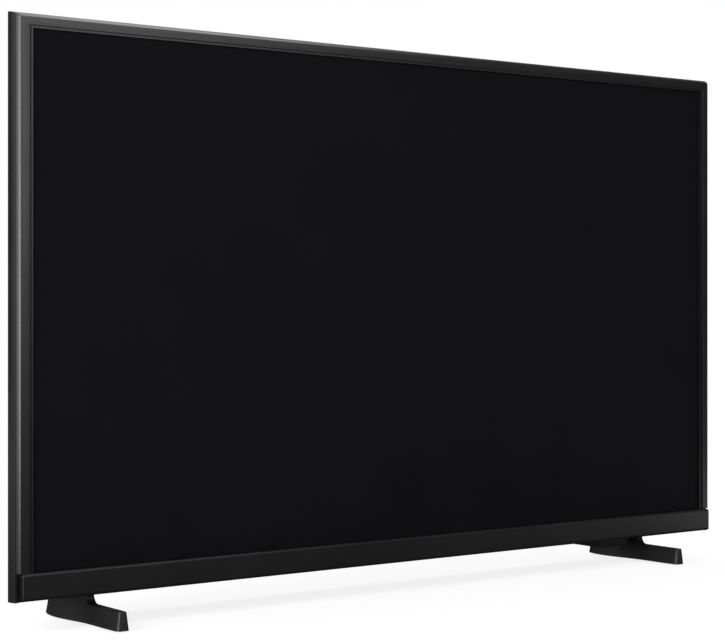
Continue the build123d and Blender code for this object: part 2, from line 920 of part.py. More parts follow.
def shell_socket(place, width, height, depth, mouth_width, mouth_height, tongue):
    """Metal socket with a flat tongue in its mouth, opening sideways into the bay."""
    middle = board_back + height / 2
    block(bay_inner - depth, bay_inner, board_back, board_back + height, place - width / 2, place + width / 2)
    block(
        bay_inner - depth + socket_inset, bay_inner, middle - mouth_height / 2, middle + mouth_height / 2,
        place - mouth_width / 2, place + mouth_width / 2, Mode.SUBTRACT,
    )
    block(
        bay_inner - depth + socket_inset, bay_inner - socket_inset, middle - tongue / 2, middle + tongue / 2,
        place - mouth_width / 2 + tongue, place + mouth_width / 2 - tongue,
    )


with BuildPart() as hdmi_sockets:
    for place in hdmi_places:
        shell_socket(
            place, hdmi_width, hdmi_height, hdmi_depth, hdmi_mouth_width, hdmi_mouth_height, hdmi_tongue,
        )
save(hdmi_sockets, "hdmi_sockets")

with BuildPart() as usb_sockets:
    for place in usb_places:
        shell_socket(place, usb_width, usb_height, usb_depth, usb_mouth_width, usb_mouth_height, usb_tongue)
save(usb_sockets, "usb_sockets")

# Network socket with the step for the plug's latch
with BuildPart() as lan_socket:
    lan_middle = board_back + lan_height / 2
    block(
        bay_inner - lan_depth, bay_inner, board_back, board_back + lan_height,
        lan_place - lan_width / 2, lan_place + lan_width / 2,
    )
    mouth_low = lan_middle - lan_mouth_height / 2
    mouth_high = lan_middle + lan_mouth_height / 2
    block(
        bay_inner - lan_mouth_depth, bay_inner, mouth_low, mouth_high,
        lan_place - lan_mouth_width / 2, lan_place + lan_mouth_width / 2, Mode.SUBTRACT,
    )
    block(
        bay_inner - lan_mouth_depth, bay_inner, mouth_high, mouth_high + lan_latch_height,
        lan_place - lan_latch_width / 2, lan_place + lan_latch_width / 2, Mode.SUBTRACT,
    )
save(lan_socket, "lan_socket")

# Aerial socket: a can with a barrel round a centre pin
with BuildPart() as aerial_socket:
    aerial_middle = board_back + aerial_body / 2
    block(
        bay_inner - aerial_body, bay_inner, board_back, board_back + aerial_body,
        aerial_place - aerial_body / 2, aerial_place + aerial_body / 2,
    )
    side_rod(bay_inner, bay_inner + aerial_barrel_length, aerial_middle, aerial_place, aerial_barrel_radius)
    side_rod(
        bay_inner - socket_inset, bay_inner + aerial_barrel_length, aerial_middle, aerial_place,
        aerial_bore_radius, Mode.SUBTRACT,
    )
    side_rod(
        bay_inner - socket_inset, bay_inner + aerial_barrel_length - socket_inset, aerial_middle,
        aerial_place, aerial_pin_radius,
    )
save(aerial_socket, "aerial_socket")

# Optical sound socket, its mouth closed by a shutter
with BuildPart() as optical_socket:
    optical_middle = board_back + optical_body / 2
    block(
        bay_inner - optical_body, bay_inner, board_back, board_back + optical_body,
        optical_place - optical_body / 2, optical_place + optical_body / 2,
    )
    block(
        bay_inner - optical_mouth_depth, bay_inner,
        optical_middle - optical_mouth / 2, optical_middle + optical_mouth / 2,
        optical_place - optical_mouth / 2, optical_place + optical_mouth / 2, Mode.SUBTRACT,
    )
save(optical_socket, "optical_socket")

# Headphone jack with a round collar
with BuildPart() as headphone_jack:
    jack_middle = board_back + jack_body / 2
    block(
        bay_inner - jack_body, bay_inner, board_back, board_back + jack_body,
        jack_place - jack_body / 2, jack_place + jack_body / 2,
    )
    side_rod(bay_inner, bay_inner + jack_collar_length, jack_middle, jack_place, jack_collar_radius)
    side_rod(
        bay_inner - jack_body + socket_inset, bay_inner + jack_collar_length, jack_middle, jack_place,
        jack_bore_radius, Mode.SUBTRACT,
    )
save(headphone_jack, "headphone_jack")

# Power board with its flat heat sink plates
power_middle_x = -main_middle_x
with BuildPart() as power_board:
    block(-board_outer, -board_inner, board_front, board_back, board_low, power_board_high)
    rods(board_screw_places(), board_front, board_back, small_shank_radius + board_hole_gap, Mode.SUBTRACT)
    cooler_low = power_board_high - cooler_inset
    block(
        power_middle_x - cooler_length / 2, power_middle_x + cooler_length / 2, board_back,
        board_back + cooler_height, cooler_low, cooler_low + cooler_sheet,
    )
save(power_board, "power_board")

# Transformer: winding drum inside a ferrite core
transformer_z = (board_low + power_board_high) / 2
with BuildPart() as transformer:
    drum_middle = board_back + transformer_height / 2
    block(
        power_middle_x - transformer_width / 2, power_middle_x + transformer_width / 2,
        board_back, board_back + transformer_height,
        transformer_z - transformer_core, transformer_z + transformer_core,
    )
    post(
        power_middle_x, drum_middle, transformer_z - transformer_length / 2,
        transformer_z + transformer_length / 2, winding_radius,
    )
save(transformer, "transformer")

# Reservoir capacitors, upright cans
with BuildPart() as capacitors:
    first_can = power_middle_x - (capacitor_count - 1) / 2 * capacitor_pitch
    cans = [(first_can + i * capacitor_pitch, capacitor_z) for i in range(capacitor_count)]
    rods(cans, board_back, board_back + capacitor_height, capacitor_radius)
    tops = capacitors.faces().group_by(Axis.Y)[-1]
    fillet(tops.edges(), capacitor_round)
save(capacitors, "capacitors")

# Mains inlet with two pins
with BuildPart() as ac_inlet:
    inlet_middle = board_back + inlet_height / 2
    block(
        -bay_inner, inlet_depth - bay_inner, board_back, board_back + inlet_height,
        inlet_place - inlet_width / 2, inlet_place + inlet_width / 2,
    )
    lobe = inlet_pocket_height / 2
    for side in (-1, 1):
        lobe_z = inlet_place + side * (inlet_pocket_width / 2 - lobe)
        side_rod(-bay_inner, inlet_pocket_depth - bay_inner, inlet_middle, lobe_z, lobe, Mode.SUBTRACT)
    block(
        -bay_inner, inlet_pocket_depth - bay_inner, inlet_middle - lobe, inlet_middle + lobe,
        inlet_place - inlet_pocket_width / 2 + lobe, inlet_place + inlet_pocket_width / 2 - lobe,
        Mode.SUBTRACT,
    )
    for side in (-1, 1):
        pin_z = inlet_place + side * inlet_pin_spacing / 2
        side_rod(
            inlet_pocket_depth - bay_inner - inlet_pin_length, inlet_pocket_depth - bay_inner + socket_inset,
            inlet_middle, pin_z, inlet_pin_radius,
        )
save(ac_inlet, "ac_inlet")

# Source boards under the screen, and the thin films that join them to the panel
board_ledge = panel_low - frame_side_gap - frame_wall - film_gap - film_thickness
with BuildPart() as source_boards:
    for side in (-1, 1):
        centre = side * source_board_offset
        block(
            centre - source_board_length / 2, centre + source_board_length / 2,
            source_board_front, source_board_front + source_board_width,
            board_ledge - source_board_thickness, board_ledge,
        )
save(source_boards, "source_boards")

with BuildPart() as flex_films:
    for side in (-1, 1):
        for i in range(film_count):
            x = side * source_board_offset + (i - (film_count - 1) / 2) * film_pitch
            block(
                x - film_width / 2, x + film_width / 2, panel_back - film_gap - 2 * film_thickness,
                panel_back - film_gap - film_thickness, board_ledge, panel_low,
            )
            block(
                x - film_width / 2, x + film_width / 2, panel_back - film_gap - 2 * film_thickness,
                source_board_front + source_board_width / 2, board_ledge, board_ledge + film_thickness,
            )
save(flex_films, "flex_films")

# Flat cable from the main board down to the source board, with its plug
with BuildPart() as panel_cable:
    cable_low = board_ledge - source_board_thickness - ribbon_thickness / 2
    cable_back = board_back + ribbon_thickness / 2
    cable_start = source_board_front + source_board_width - ribbon_lap
    cable_step = board_low - ribbon_plug / 2
    with BuildSketch(Plane.YZ):
        with BuildLine():
            FilletPolyline(
                (y_at(cable_start), cable_low),
                (y_at(ribbon_rise_depth), cable_low),
                (y_at(ribbon_rise_depth), cable_step - ribbon_bend),
                (y_at(cable_back), cable_step),
                (y_at(cable_back), board_low + ribbon_plug),
                radius=ribbon_bend,
            )
        trace(line_width=ribbon_thickness)
    extrude(amount=ribbon_width / 2, both=True)
    panel_cable.part.position = (ribbon_offset, 0, 0)
    block(
        ribbon_offset - ribbon_width / 2, ribbon_offset + ribbon_width / 2, board_back,
        board_back + ribbon_plug_height, board_low + ribbon_plug, board_low + 2 * ribbon_plug,
    )
save(panel_cable, "panel_cable")

# Wire loom between the two boards, with a plug on each
with BuildPart() as wire_loom:
    loom_z = board_low + loom_place
    block(
        -board_inner, board_inner, board_back, board_back + loom_thickness,
        loom_z - loom_width / 2, loom_z + loom_width / 2,
    )
    for side in (-1, 1):
        plug_middle = side * (board_inner + loom_plug / 2)
        block(
            plug_middle - loom_plug / 2, plug_middle + loom_plug / 2,
            board_back, board_back + loom_plug_height, loom_z - loom_plug, loom_z + loom_plug,
        )
save(wire_loom, "wire_loom")

# Radio module on its posts
with BuildPart() as radio_module:
    radio_front = tray_base_back + radio_post
    block(
        radio_place_x - radio_width / 2, radio_place_x + radio_width / 2, radio_front,
        radio_front + radio_thickness, radio_place_z - radio_height / 2, radio_place_z + radio_height / 2,
    )
    block(
        radio_place_x - radio_chip / 2, radio_place_x + radio_chip / 2, radio_front + radio_thickness,
        radio_front + radio_thickness + radio_chip_thickness,
        radio_place_z - radio_chip / 2, radio_place_z + radio_chip / 2,
    )
save(radio_module, "radio_module")

# Speakers: a closed box each side, with a driver that fires down through the floor slots
box_low = cover_floor + cover_wall + speaker_foot
driver_low = box_low + speaker_wall


def make_speaker(side, name):
    """Box, driver and moving cone of one speaker."""
    x = side * speaker_offset
    y = y_at(speaker_middle)
    half_length = speaker_box_length / 2
    box_high = box_low + speaker_box_height
    with BuildPart() as box:
        with BuildSketch(Plane.XY.offset(box_low)):
            with Locations((x, y)):
                RectangleRounded(speaker_box_length, speaker_box_back - speaker_box_front, speaker_box_round)
        extrude(amount=speaker_box_height)
        block(
            x - half_length + speaker_wall, x + half_length - speaker_wall, speaker_box_front + speaker_wall,
            speaker_box_back - speaker_wall, driver_low, box_high - speaker_wall, Mode.SUBTRACT,
        )
        post(x, speaker_middle, box_low, driver_low, driver_hole_radius, Mode.SUBTRACT)
    save(box, name + "_speaker_box")

    middle = Plane(origin=(x, y, driver_low), x_dir=(1, 0, 0), z_dir=(0, -1, 0))
    with BuildPart() as driver:
        with BuildSketch(middle):
            with BuildLine():
                Polyline(
                    (cone_radius + cone_gap, 0),
                    (driver_radius, 0),
                    (driver_radius, driver_rise + driver_back),
                    (0, driver_rise + driver_back),
                    (0, magnet_rise),
                    (pole_radius, magnet_rise),
                    (pole_radius, driver_rise),
                    (magnet_inner_radius, driver_rise),
                    (magnet_inner_radius, magnet_rise),
                    (magnet_outer_radius, magnet_rise),
                    (magnet_outer_radius, driver_rise),
                    (driver_radius - driver_ring, driver_rise),
                    (driver_radius - driver_ring, driver_flange),
                    (cone_radius + cone_gap, driver_flange),
                    close=True,
                )
            make_face()
        revolve(axis=Axis((x, y, 0), (0, 0, 1)))
    save(driver, name + "_speaker_driver")

    with BuildPart() as cone:
        with BuildSketch(middle):
            with BuildLine():
                Polyline(
                    (cone_radius, cone_low),
                    (cone_neck_radius, cone_rise),
                    (0, cone_rise),
                    (0, cone_rise + cone_sheet),
                    (cone_neck_radius - cone_sheet, cone_rise + cone_sheet),
                    (cone_neck_radius - cone_sheet, coil_rise),
                    (cone_neck_radius, coil_rise),
                    (cone_neck_radius, cone_rise + cone_sheet),
                    (cone_radius, cone_low + cone_sheet),
                    close=True,
                )
            make_face()
        revolve(axis=Axis((x, y, 0), (0, 0, 1)))
    save(cone, name + "_speaker_cone")


make_speaker(-1, "left")
make_speaker(1, "right")

# Receiver module: a small open-topped housing under the cover floor
module_left = module_centre_x - module_width / 2
module_right = module_centre_x + module_width / 2
module_inner_floor = module_floor + module_wall
module_board_high = cover_floor - module_board_drop
module_board_low = module_board_high - module_board_thickness
button_depth = module_front + button_place
with BuildPart() as receiver_housing:
    block(module_left, module_right, module_front, module_back, module_floor, cover_floor)
    uprights = receiver_housing.edges().filter_by(Axis.Z)
    fillet(uprights, module_round)
    fillet(receiver_housing.faces().sort_by(Axis.Z)[0].edges(), module_round / 2)
    block(
        module_left + module_wall, module_right - module_wall,
        module_front + module_wall, module_back - module_wall,
        module_inner_floor, cover_floor, Mode.SUBTRACT,
    )
    block(
        module_left + module_wall + window_margin, module_right - module_wall - window_margin,
        module_front - overrun, module_front + module_wall,
        module_inner_floor, cover_floor - window_margin, Mode.SUBTRACT,
    )
    for side in (-1, 1):
        for end in (-1, 1):
            post_x = module_centre_x + side * (module_board_width / 2 - module_post_inset)
            post_depth = button_depth + end * (module_board_length / 2 - module_post_inset)
            post(post_x, post_depth, module_inner_floor, module_board_low, module_post_radius)
    post(
        module_centre_x, button_depth, module_floor, module_inner_floor,
        button_radius + button_clearance, Mode.SUBTRACT,
    )
save(receiver_housing, "receiver_housing")

# Window in front of the receiver, set back a little in the housing
with BuildPart() as receiver_window:
    block(
        module_left + module_wall + window_margin + window_fit,
        module_right - module_wall - window_margin - window_fit,
        module_front + window_recess, module_front + window_recess + window_thickness,
        module_inner_floor + window_fit, cover_floor - window_margin - window_fit,
    )
save(receiver_window, "receiver_window")

with BuildPart() as receiver_board:
    block(
        module_centre_x - module_board_width / 2, module_centre_x + module_board_width / 2,
        button_depth - module_board_length / 2, button_depth + module_board_length / 2,
        module_board_low, module_board_high,
    )
save(receiver_board, "receiver_board")

with BuildPart() as button_switch:
    block(
        module_centre_x - switch_size / 2, module_centre_x + switch_size / 2,
        button_depth - switch_size / 2, button_depth + switch_size / 2,
        module_board_low - switch_height, module_board_low,
    )
save(button_switch, "button_switch")

# Push button in the module's underside: cap, flange inside, stem up to the switch
with BuildPart() as control_button:
    flange_low = module_inner_floor + button_seat_gap
    post(module_centre_x, button_depth, module_floor - button_proud, flange_low, button_radius)
    post(
        module_centre_x, button_depth, flange_low, flange_low + button_flange_thickness,
        button_radius + button_flange,
    )
    post(
        module_centre_x, button_depth, flange_low + button_flange_thickness,
        module_board_low - switch_height - button_stem_gap, button_stem_radius,
    )
    cap_edge = control_button.faces().sort_by(Axis.Z)[0].edges()
    fillet(cap_edge, button_proud / 2)
save(control_button, "control_button")


def make_bracket(side, name):
    """Steel bracket that carries one foot: sole, upright, two gussets and two threaded bosses."""
    low = cover_floor + cover_wall
    left = side * foot_x - bracket_width / 2
    right = side * foot_x + bracket_width / 2
    top = low + bracket_height
    with BuildPart() as bracket:
        block(left, right, tray_base_back, bracket_back, low, low + bracket_sheet)
        block(left, right, tray_base_back, tray_base_back + bracket_sheet, low, top)
        for gusset_left in (left, right - bracket_sheet):
            with BuildSketch(Plane.YZ.offset(gusset_left)):
                with BuildLine():
                    Polyline(
                        (y_at(tray_base_back + bracket_sheet), low + bracket_sheet),
                        (y_at(bracket_back), low + bracket_sheet),
                        (y_at(tray_base_back + bracket_sheet), low + bracket_height / 2),
                        close=True,
                    )
                make_face()
            extrude(amount=bracket_sheet)
        for depth in (foot_screw_front, foot_screw_back):
            x = foot_width_at(side, depth)
            post(x, depth, low, low + bracket_boss_height, bracket_boss_radius)
            post(x, depth, low, low + bracket_boss_height, foot_screw_radius + thread_gap, Mode.SUBTRACT)
        rods(
            bracket_screw_places(), tray_base_back, tray_base_back + bracket_sheet,
            small_shank_radius + board_hole_gap, Mode.SUBTRACT,
        )
    save(bracket, name + "_stand_bracket")


make_bracket(-1, "left")
make_bracket(1, "right")


def foot_outline(side, height, half_widths, lean_front, lean_back, front_round, back_round):
    """Outline of a foot at one height: a long leaf shape with a cut-off tip and tail."""
    turn = math.radians(side * foot_splay)
    origin = (side * foot_x, y_at(widest_depth), height)
    tail, widest, throat, middle, tip = half_widths
    tail_y = tail_reach - widest_depth - lean_back
    tip_y = lean_front - widest_depth - toe_reach
    along = Plane(origin=origin, x_dir=(math.cos(turn), math.sin(turn), 0), z_dir=(0, 0, 1))
    with BuildSketch(along) as outline:
        with BuildLine():
            for hand in (-1, 1):
                Spline(
                    (hand * tail, tail_y), (hand * widest, 0), (hand * throat, neck_front - widest_depth),
                    (hand * middle, -widest_depth), (hand * tip, tip_y),
                )
            Line((-tip, tip_y), (tip, tip_y))
            Line((-tail, tail_y), (tail, tail_y))
        make_face()
        corners = outline.vertices().group_by(Axis.Y)
        fillet(corners[0], front_round)
        fillet(corners[-1], back_round)
    return outline.sketch


def make_foot(side, name):
    """One foot: drafted leaf-shaped blade with a neck that rises to the cover floor."""
    ground_widths = (
        tail_half_width, widest_half_width, throat_half_width, mid_half_width, tip_half_width,
    )
    top_widths = (
        top_tail_half_width, top_widest_half_width, top_throat_half_width, top_mid_half_width,
        top_tip_half_width,
    )
    with BuildPart() as foot:
        low = foot_outline(side, sole, ground_widths, 0, 0, tip_round, tail_round)
        high = foot_outline(
            side, cover_floor, top_widths, tip_lean, tail_lean, top_tip_round, top_tail_round,
        )
        loft([low, high], ruled=True)
        with BuildSketch(Plane.YZ) as profile:
            with BuildLine():
                Polyline(
                    (y_at(-toe_reach - overrun), sole),
                    (y_at(-toe_reach - overrun), blade_height),
                    (y_at(neck_front), blade_height),
                    (y_at(neck_front), cover_floor),
                    (y_at(neck_back), cover_floor),
                    (y_at(neck_back), tail_height),
                    (y_at(tail_reach + overrun), tail_height),
                    (y_at(tail_reach + overrun), sole),
                    close=True,
                )
            make_face()
            levels = profile.vertices().group_by(Axis.Y)
            fillet(levels[1].sort_by(Axis.X)[-1], neck_fillet)
            fillet(levels[2].sort_by(Axis.X)[0], neck_tail_fillet)
        extrude(amount=rim_edge, both=True, mode=Mode.INTERSECT)
        toe_top = foot.faces().filter_by(Axis.Z).group_by(Axis.Z)[1].sort_by(Axis.Y)[0]
        toe_edges = toe_top.edges().sort_by(Axis.Y)[:-1]
        fillet(toe_edges, toe_edge_round)
        for depth in (foot_screw_front, foot_screw_back):
            x = foot_width_at(side, depth)
            post(x, depth, sole, foot_head_seat, foot_head_radius + foot_screw_clearance, Mode.SUBTRACT)
            post(x, depth, sole, cover_floor, foot_screw_radius + foot_screw_clearance, Mode.SUBTRACT)
    save(foot, name + "_foot")


make_foot(-1, "left")
make_foot(1, "right")

# Rubber pads under the toes and tails
with BuildPart() as foot_pads:
    for side in (-1, 1):
        for depth in (pad_inset + pad_length / 2 - toe_reach, tail_reach - pad_inset - pad_length / 2):
            with BuildSketch(Plane.XY):
                with Locations((foot_width_at(side, depth), y_at(depth))):
                    SlotOverall(pad_length, pad_width, rotation=90)
            extrude(amount=pad_thickness)
save(foot_pads, "foot_pads")

# Long screws up through the feet into the brackets
with BuildPart() as foot_screws:
    for side in (-1, 1):
        for depth in (foot_screw_front, foot_screw_back):
            x = foot_width_at(side, depth)
            post(x, depth, foot_head_seat - foot_head_height, foot_head_seat, foot_head_radius)
            post(x, depth, foot_head_seat, cover_floor + cover_wall + foot_screw_reach, foot_screw_radius)
save(foot_screws, "foot_screws")

# Screws that hold the brackets to the tray
with BuildPart() as bracket_screws:
    bracket_seat = tray_base_back + bracket_sheet
    rods(bracket_screw_places(), bracket_seat, bracket_seat + small_head_height, small_head_radius)
    rods(bracket_screw_places(), tray_base_front, bracket_seat, small_shank_radius)
save(bracket_screws, "bracket_screws")

# Screws that hold the boards to their posts
with BuildPart() as board_screws:
    rods(board_screw_places(), board_back, board_back + small_head_height, small_head_radius)
    rods(board_screw_places(), board_back - board_screw_length, board_back, small_shank_radius)
save(board_screws, "board_screws")

# Screws that hold the rear cover to the tray flange
with BuildPart() as cover_screws:
    rods(cover_screw_places(), cover_head_seat, cover_head_seat + cover_head_height, cover_head_radius)
    rods(cover_screw_places(), flange_front, cover_head_seat, cover_shank_radius)
save(cover_screws, "cover_screws")

# Threaded bosses for the wall mount, standing on the tray
with BuildPart() as wall_mount_bosses:
    rods(wall_places(), tray_base_back, bulge_inner_back, wall_boss_radius)
    rods(wall_places(), bulge_inner_back - wall_bolt_depth, bulge_inner_back, wall_bolt_radius, Mode.SUBTRACT)
save(wall_mount_bosses, "wall_mount_bosses")
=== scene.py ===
# %% [markdown]
# # A flat screen television on two feet
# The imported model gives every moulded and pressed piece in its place. This script dresses it: each
# piece gets its finish, and pieces whose fine edges the solids leave out are worked out as surfaces.
# The set faces -Y, X runs to the right seen from the front, the feet stand on Z = 0. Lengths are metres.

# %% Load the frame
import json
import math

import bpy
import numpy as np
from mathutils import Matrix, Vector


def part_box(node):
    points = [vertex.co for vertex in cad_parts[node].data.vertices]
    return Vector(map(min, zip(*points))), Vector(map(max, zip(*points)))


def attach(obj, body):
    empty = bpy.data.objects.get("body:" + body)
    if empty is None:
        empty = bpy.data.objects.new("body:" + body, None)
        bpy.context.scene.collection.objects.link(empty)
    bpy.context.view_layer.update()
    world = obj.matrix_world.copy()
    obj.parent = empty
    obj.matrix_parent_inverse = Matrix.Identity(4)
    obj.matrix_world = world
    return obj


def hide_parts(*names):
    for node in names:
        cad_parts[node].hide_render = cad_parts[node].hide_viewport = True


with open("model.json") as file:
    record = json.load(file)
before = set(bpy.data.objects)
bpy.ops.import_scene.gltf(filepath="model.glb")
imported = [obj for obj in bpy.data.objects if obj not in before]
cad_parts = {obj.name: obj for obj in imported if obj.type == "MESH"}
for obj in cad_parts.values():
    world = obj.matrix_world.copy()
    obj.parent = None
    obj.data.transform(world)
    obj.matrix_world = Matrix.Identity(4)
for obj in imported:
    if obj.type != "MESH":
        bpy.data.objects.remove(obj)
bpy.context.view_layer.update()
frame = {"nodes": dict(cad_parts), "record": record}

nodes = frame["nodes"]
slot_of = {row["node"]: row["material_slot"] for row in frame["record"]["subparts"]}
BODY = "television"

# %% [markdown]
# ## The camera
# The photograph was taken level, with a long lens, from the front left. Its direction, distance and
# lens come from the straight edges of the set: the lines of the frame meet at two points on the eye
# line, and their lengths give the distance. A level camera keeps upright edges upright, so the eye line
# is moved in the picture by the lens shift and the camera isn't tilted.

# %% Camera
IMAGE_WIDTH = 725
FOCAL_PIXELS = 1908.5
EYE_LINE_ABOVE_MIDDLE = 21.475
SENSOR = 36.0
NEAREST_SEEN = 0.01
CAMERA_PLACE = (-1.3385, -1.7058, 0.3256)
CAMERA_TURN = math.radians(-37.247)

camera_data = bpy.data.cameras.new("camera")
camera_data.sensor_fit = "HORIZONTAL"
camera_data.sensor_width = SENSOR
camera_data.lens = FOCAL_PIXELS / IMAGE_WIDTH * SENSOR
camera_data.shift_y = -EYE_LINE_ABOVE_MIDDLE / IMAGE_WIDTH
camera_data.clip_start = NEAREST_SEEN
camera = bpy.data.objects.new("camera", camera_data)
camera.location = CAMERA_PLACE
camera.rotation_euler = (math.pi / 2, 0.0, CAMERA_TURN)
bpy.context.collection.objects.link(camera)
bpy.context.scene.camera = camera
bpy.context.scene.view_settings.view_transform = "Standard"
print("lens", round(camera_data.lens, 2), "mm")

# %% [markdown]
# ## Node helpers
# A material is a small tree of nodes. These helpers keep the cells short: one adds a node with its
# settings and links, and the others are the steps that nearly every finish takes.

# %% Node helpers
def node(tree, kind, inputs=None, **settings):
    """Adds a node, sets its settings, and links or fills its input sockets by name or number."""
    item = tree.nodes.new(kind)
    for key, value in settings.items():
        setattr(item, key, value)
    for key, value in (inputs or {}).items():
        if isinstance(value, bpy.types.NodeSocket):
            tree.links.new(value, item.inputs[key])
        else:
            item.inputs[key].default_value = value
    return item


def math_node(tree, operation, first, second=0.0):
    """One arithmetic step between sockets or numbers."""
    return node(tree, "ShaderNodeMath", {0: first, 1: second}, operation=operation).outputs[0]


def times(tree, first, second):
    """Product of two sockets, or of a socket and a number."""
    return math_node(tree, "MULTIPLY", first, second)


def spread(tree, value, low, high, start=0.0, end=1.0):
    """Carries a value from the range start to end over to the range low to high."""
    inputs = {"Value": value, "From Min": start, "From Max": end, "To Min": low, "To Max": high}
    return node(tree, "ShaderNodeMapRange", inputs).outputs["Result"]


def noise(tree, place, scale, detail, roughness=0.5, distortion=0.0):
    """Soft random value between 0 and 1 that changes about scale times in a metre."""
    inputs = {"Vector": place, "Scale": scale, "Detail": detail, "Roughness": roughness,
              "Distortion": distortion}
    return node(tree, "ShaderNodeTexNoise", inputs).outputs[0]


def shade(tree, mask, dark, light):
    """Colour that goes from dark to light with the mask; either end may be a colour or a socket."""
    item = node(tree, "ShaderNodeMix", {0: mask}, data_type="RGBA")
    for socket, colour in ((item.inputs[6], dark), (item.inputs[7], light)):
        if isinstance(colour, bpy.types.NodeSocket):
            tree.links.new(colour, socket)
        else:
            socket.default_value = (*colour, 1.0)
    return item.outputs[2]


def blend(tree, share, first, second):
    """Mixes two shaders: share says how much of the second shows."""
    inputs = {0: share, 1: first.outputs[0], 2: second.outputs[0]}
    return node(tree, "ShaderNodeMixShader", inputs)


# %% [markdown]
# ## Shared groups
# An effect that several finishes use is a group of nodes, built once. One helper opens a group with named
# sockets, one places it in a finish with that finish's own values, and one gives the place that feeds it.

# %% Group helpers
FLOAT = "NodeSocketFloat"
VECTOR = "NodeSocketVector"


def new_group(name, inputs, outputs):
    """Opens a shader group with named inputs and outputs, and gives its tree and both end nodes."""
    group = bpy.data.node_groups.new(name, "ShaderNodeTree")
    for label, kind, default in inputs:
        socket = group.interface.new_socket(name=label, in_out="INPUT", socket_type=kind)
        if default is not None:
            socket.default_value = default
    for label in outputs:
        group.interface.new_socket(name=label, in_out="OUTPUT", socket_type=FLOAT)
    return group, group.nodes.new("NodeGroupInput"), group.nodes.new("NodeGroupOutput")


def use_group(tree, group, **values):
    """Places a shared group in a material with its own values, named with _ for a space."""
    item = tree.nodes.new("ShaderNodeGroup")
    item.node_tree = group
    for key, value in values.items():
        socket = item.inputs[key.replace("_", " ")]
        if isinstance(value, bpy.types.NodeSocket):
            tree.links.new(value, socket)
        else:
            socket.default_value = value
    return item


def object_place(tree):
    """Place of a point in the object's own coordinates, which never slides when the piece moves."""
    return node(tree, "ShaderNodeTexCoord").outputs["Object"]


# %% [markdown]
# ## The studio's world
# The set was photographed on white. The world is white to the camera, to gloss and to glass, and a
# softer white to everything else, so the background doesn't wash out the light.

# %% World
AMBIENT = 0.85
WHITE = (1.0, 1.0, 1.0, 1.0)


def sees_background(tree):
    """1 for rays that show the background: camera, gloss and glass."""
    path = node(tree, "ShaderNodeLightPath")
    seen = math_node(tree, "MAXIMUM", path.outputs["Is Camera Ray"], path.outputs["Is Glossy Ray"])
    return math_node(tree, "MAXIMUM", seen, path.outputs["Is Transmission Ray"])


world = bpy.data.worlds.new("studio")
bpy.context.scene.world = world
world.use_nodes = True
tree = world.node_tree
tree.nodes.clear()
softer = node(tree, "ShaderNodeBackground", {"Color": WHITE, "Strength": AMBIENT})
full = node(tree, "ShaderNodeBackground", {"Color": WHITE, "Strength": 1.0})
mix = blend(tree, sees_background(tree), softer, full)
node(tree, "ShaderNodeOutputWorld", {"Surface": mix.outputs[0]})
print("world lights matt surfaces with", AMBIENT)

# %% [markdown]
# ## The floor
# The floor is white card that keeps a pale shadow: where it is seen it mostly shines by itself, and only
# a share of it is paper that the set darkens. Every sheet of the studio is a mesh over a grid of points.

# %% Floor
FLOOR_REACH = 14.0
FLOOR_DROP = 0.0003
FLOOR_GLOW = 1.12
SHADOW_SHARE = 0.30
PAPER = (0.9, 0.9, 0.9, 1.0)


def sheet_mesh(name, points, columns):
    """Mesh over a grid of points: rows of `columns` points, with a face between each four neighbours."""
    rows = len(points) // columns
    step = np.arange(rows - 1)[:, None] * columns + np.arange(columns - 1)[None, :]
    faces = np.stack([step, step + 1, step + columns + 1, step + columns], axis=-1).reshape(-1, 4)
    mesh = bpy.data.meshes.new(name)
    mesh.from_pydata(points.tolist(), [], faces.tolist())
    mesh.validate()
    return mesh


def flat_sheet(left, right, front, back, height):
    """Four corners of a level rectangle, in the order that sheet_mesh wants."""
    return np.array([[x, y, height] for y in (front, back) for x in (left, right)])


def bare_material(name):
    """Opens a material of the studio, with an empty tree."""
    material = bpy.data.materials.new(name)
    material.use_nodes = True
    material.node_tree.nodes.clear()
    return material, material.node_tree


floor_points = flat_sheet(-FLOOR_REACH, FLOOR_REACH, -FLOOR_REACH, FLOOR_REACH, -FLOOR_DROP)
floor = bpy.data.objects.new("floor", sheet_mesh("floor", floor_points, 2))
bpy.context.collection.objects.link(floor)

card, tree = bare_material("white_card")
paper = node(tree, "ShaderNodeBsdfDiffuse", {"Color": PAPER})
glow = node(tree, "ShaderNodeEmission", {"Color": WHITE, "Strength": FLOOR_GLOW})
shown = blend(tree, SHADOW_SHARE, glow, paper)
mix = blend(tree, sees_background(tree), paper, shown)
node(tree, "ShaderNodeOutputMaterial", {"Surface": mix.outputs[0]})
floor.data.materials.append(card)
print("floor", 2 * FLOOR_REACH, "m wide")

# %% [markdown]
# ## Dark screens round the set
# A black set mirrors what stands round it, and a white room would turn it grey. Photographers stand
# black screens just outside the picture, and leave gaps where a glow is wanted. Here one tall screen
# runs round the set, open only at the left, dark cloths lie on the floor with a gap at the right, where
# the bar picks up its glow, and one hangs above at the right. Only gloss sees them: they throw no shadow.

# %% Dark screens
SCREEN_RADIUS = 4.5
SCREEN_HEIGHT = 1.9
SCREEN_FROM = math.radians(-62.0)
SCREEN_TO = math.radians(245.0)
SCREEN_STEPS = 59
CLOTH_GLOW = 0.05
# Left, right, front and back edge, and height, of each level cloth
CLOTHS = {
    "floor_cloth": (-4.4, 0.62, -4.4, 4.4, 0.0004),
    "right_cloth": (1.10, 4.4, -4.4, 1.5, 0.0004),
    "ceiling_cloth": (1.02, 4.4, -1.2, 2.4, 2.15),
}


def gloss_only(thing):
    """Shows a stage piece to gloss alone: it isn't in the picture and throws no shadow."""
    thing.visible_camera = False
    thing.visible_diffuse = False
    thing.visible_transmission = False
    thing.visible_volume_scatter = False
    thing.visible_shadow = False


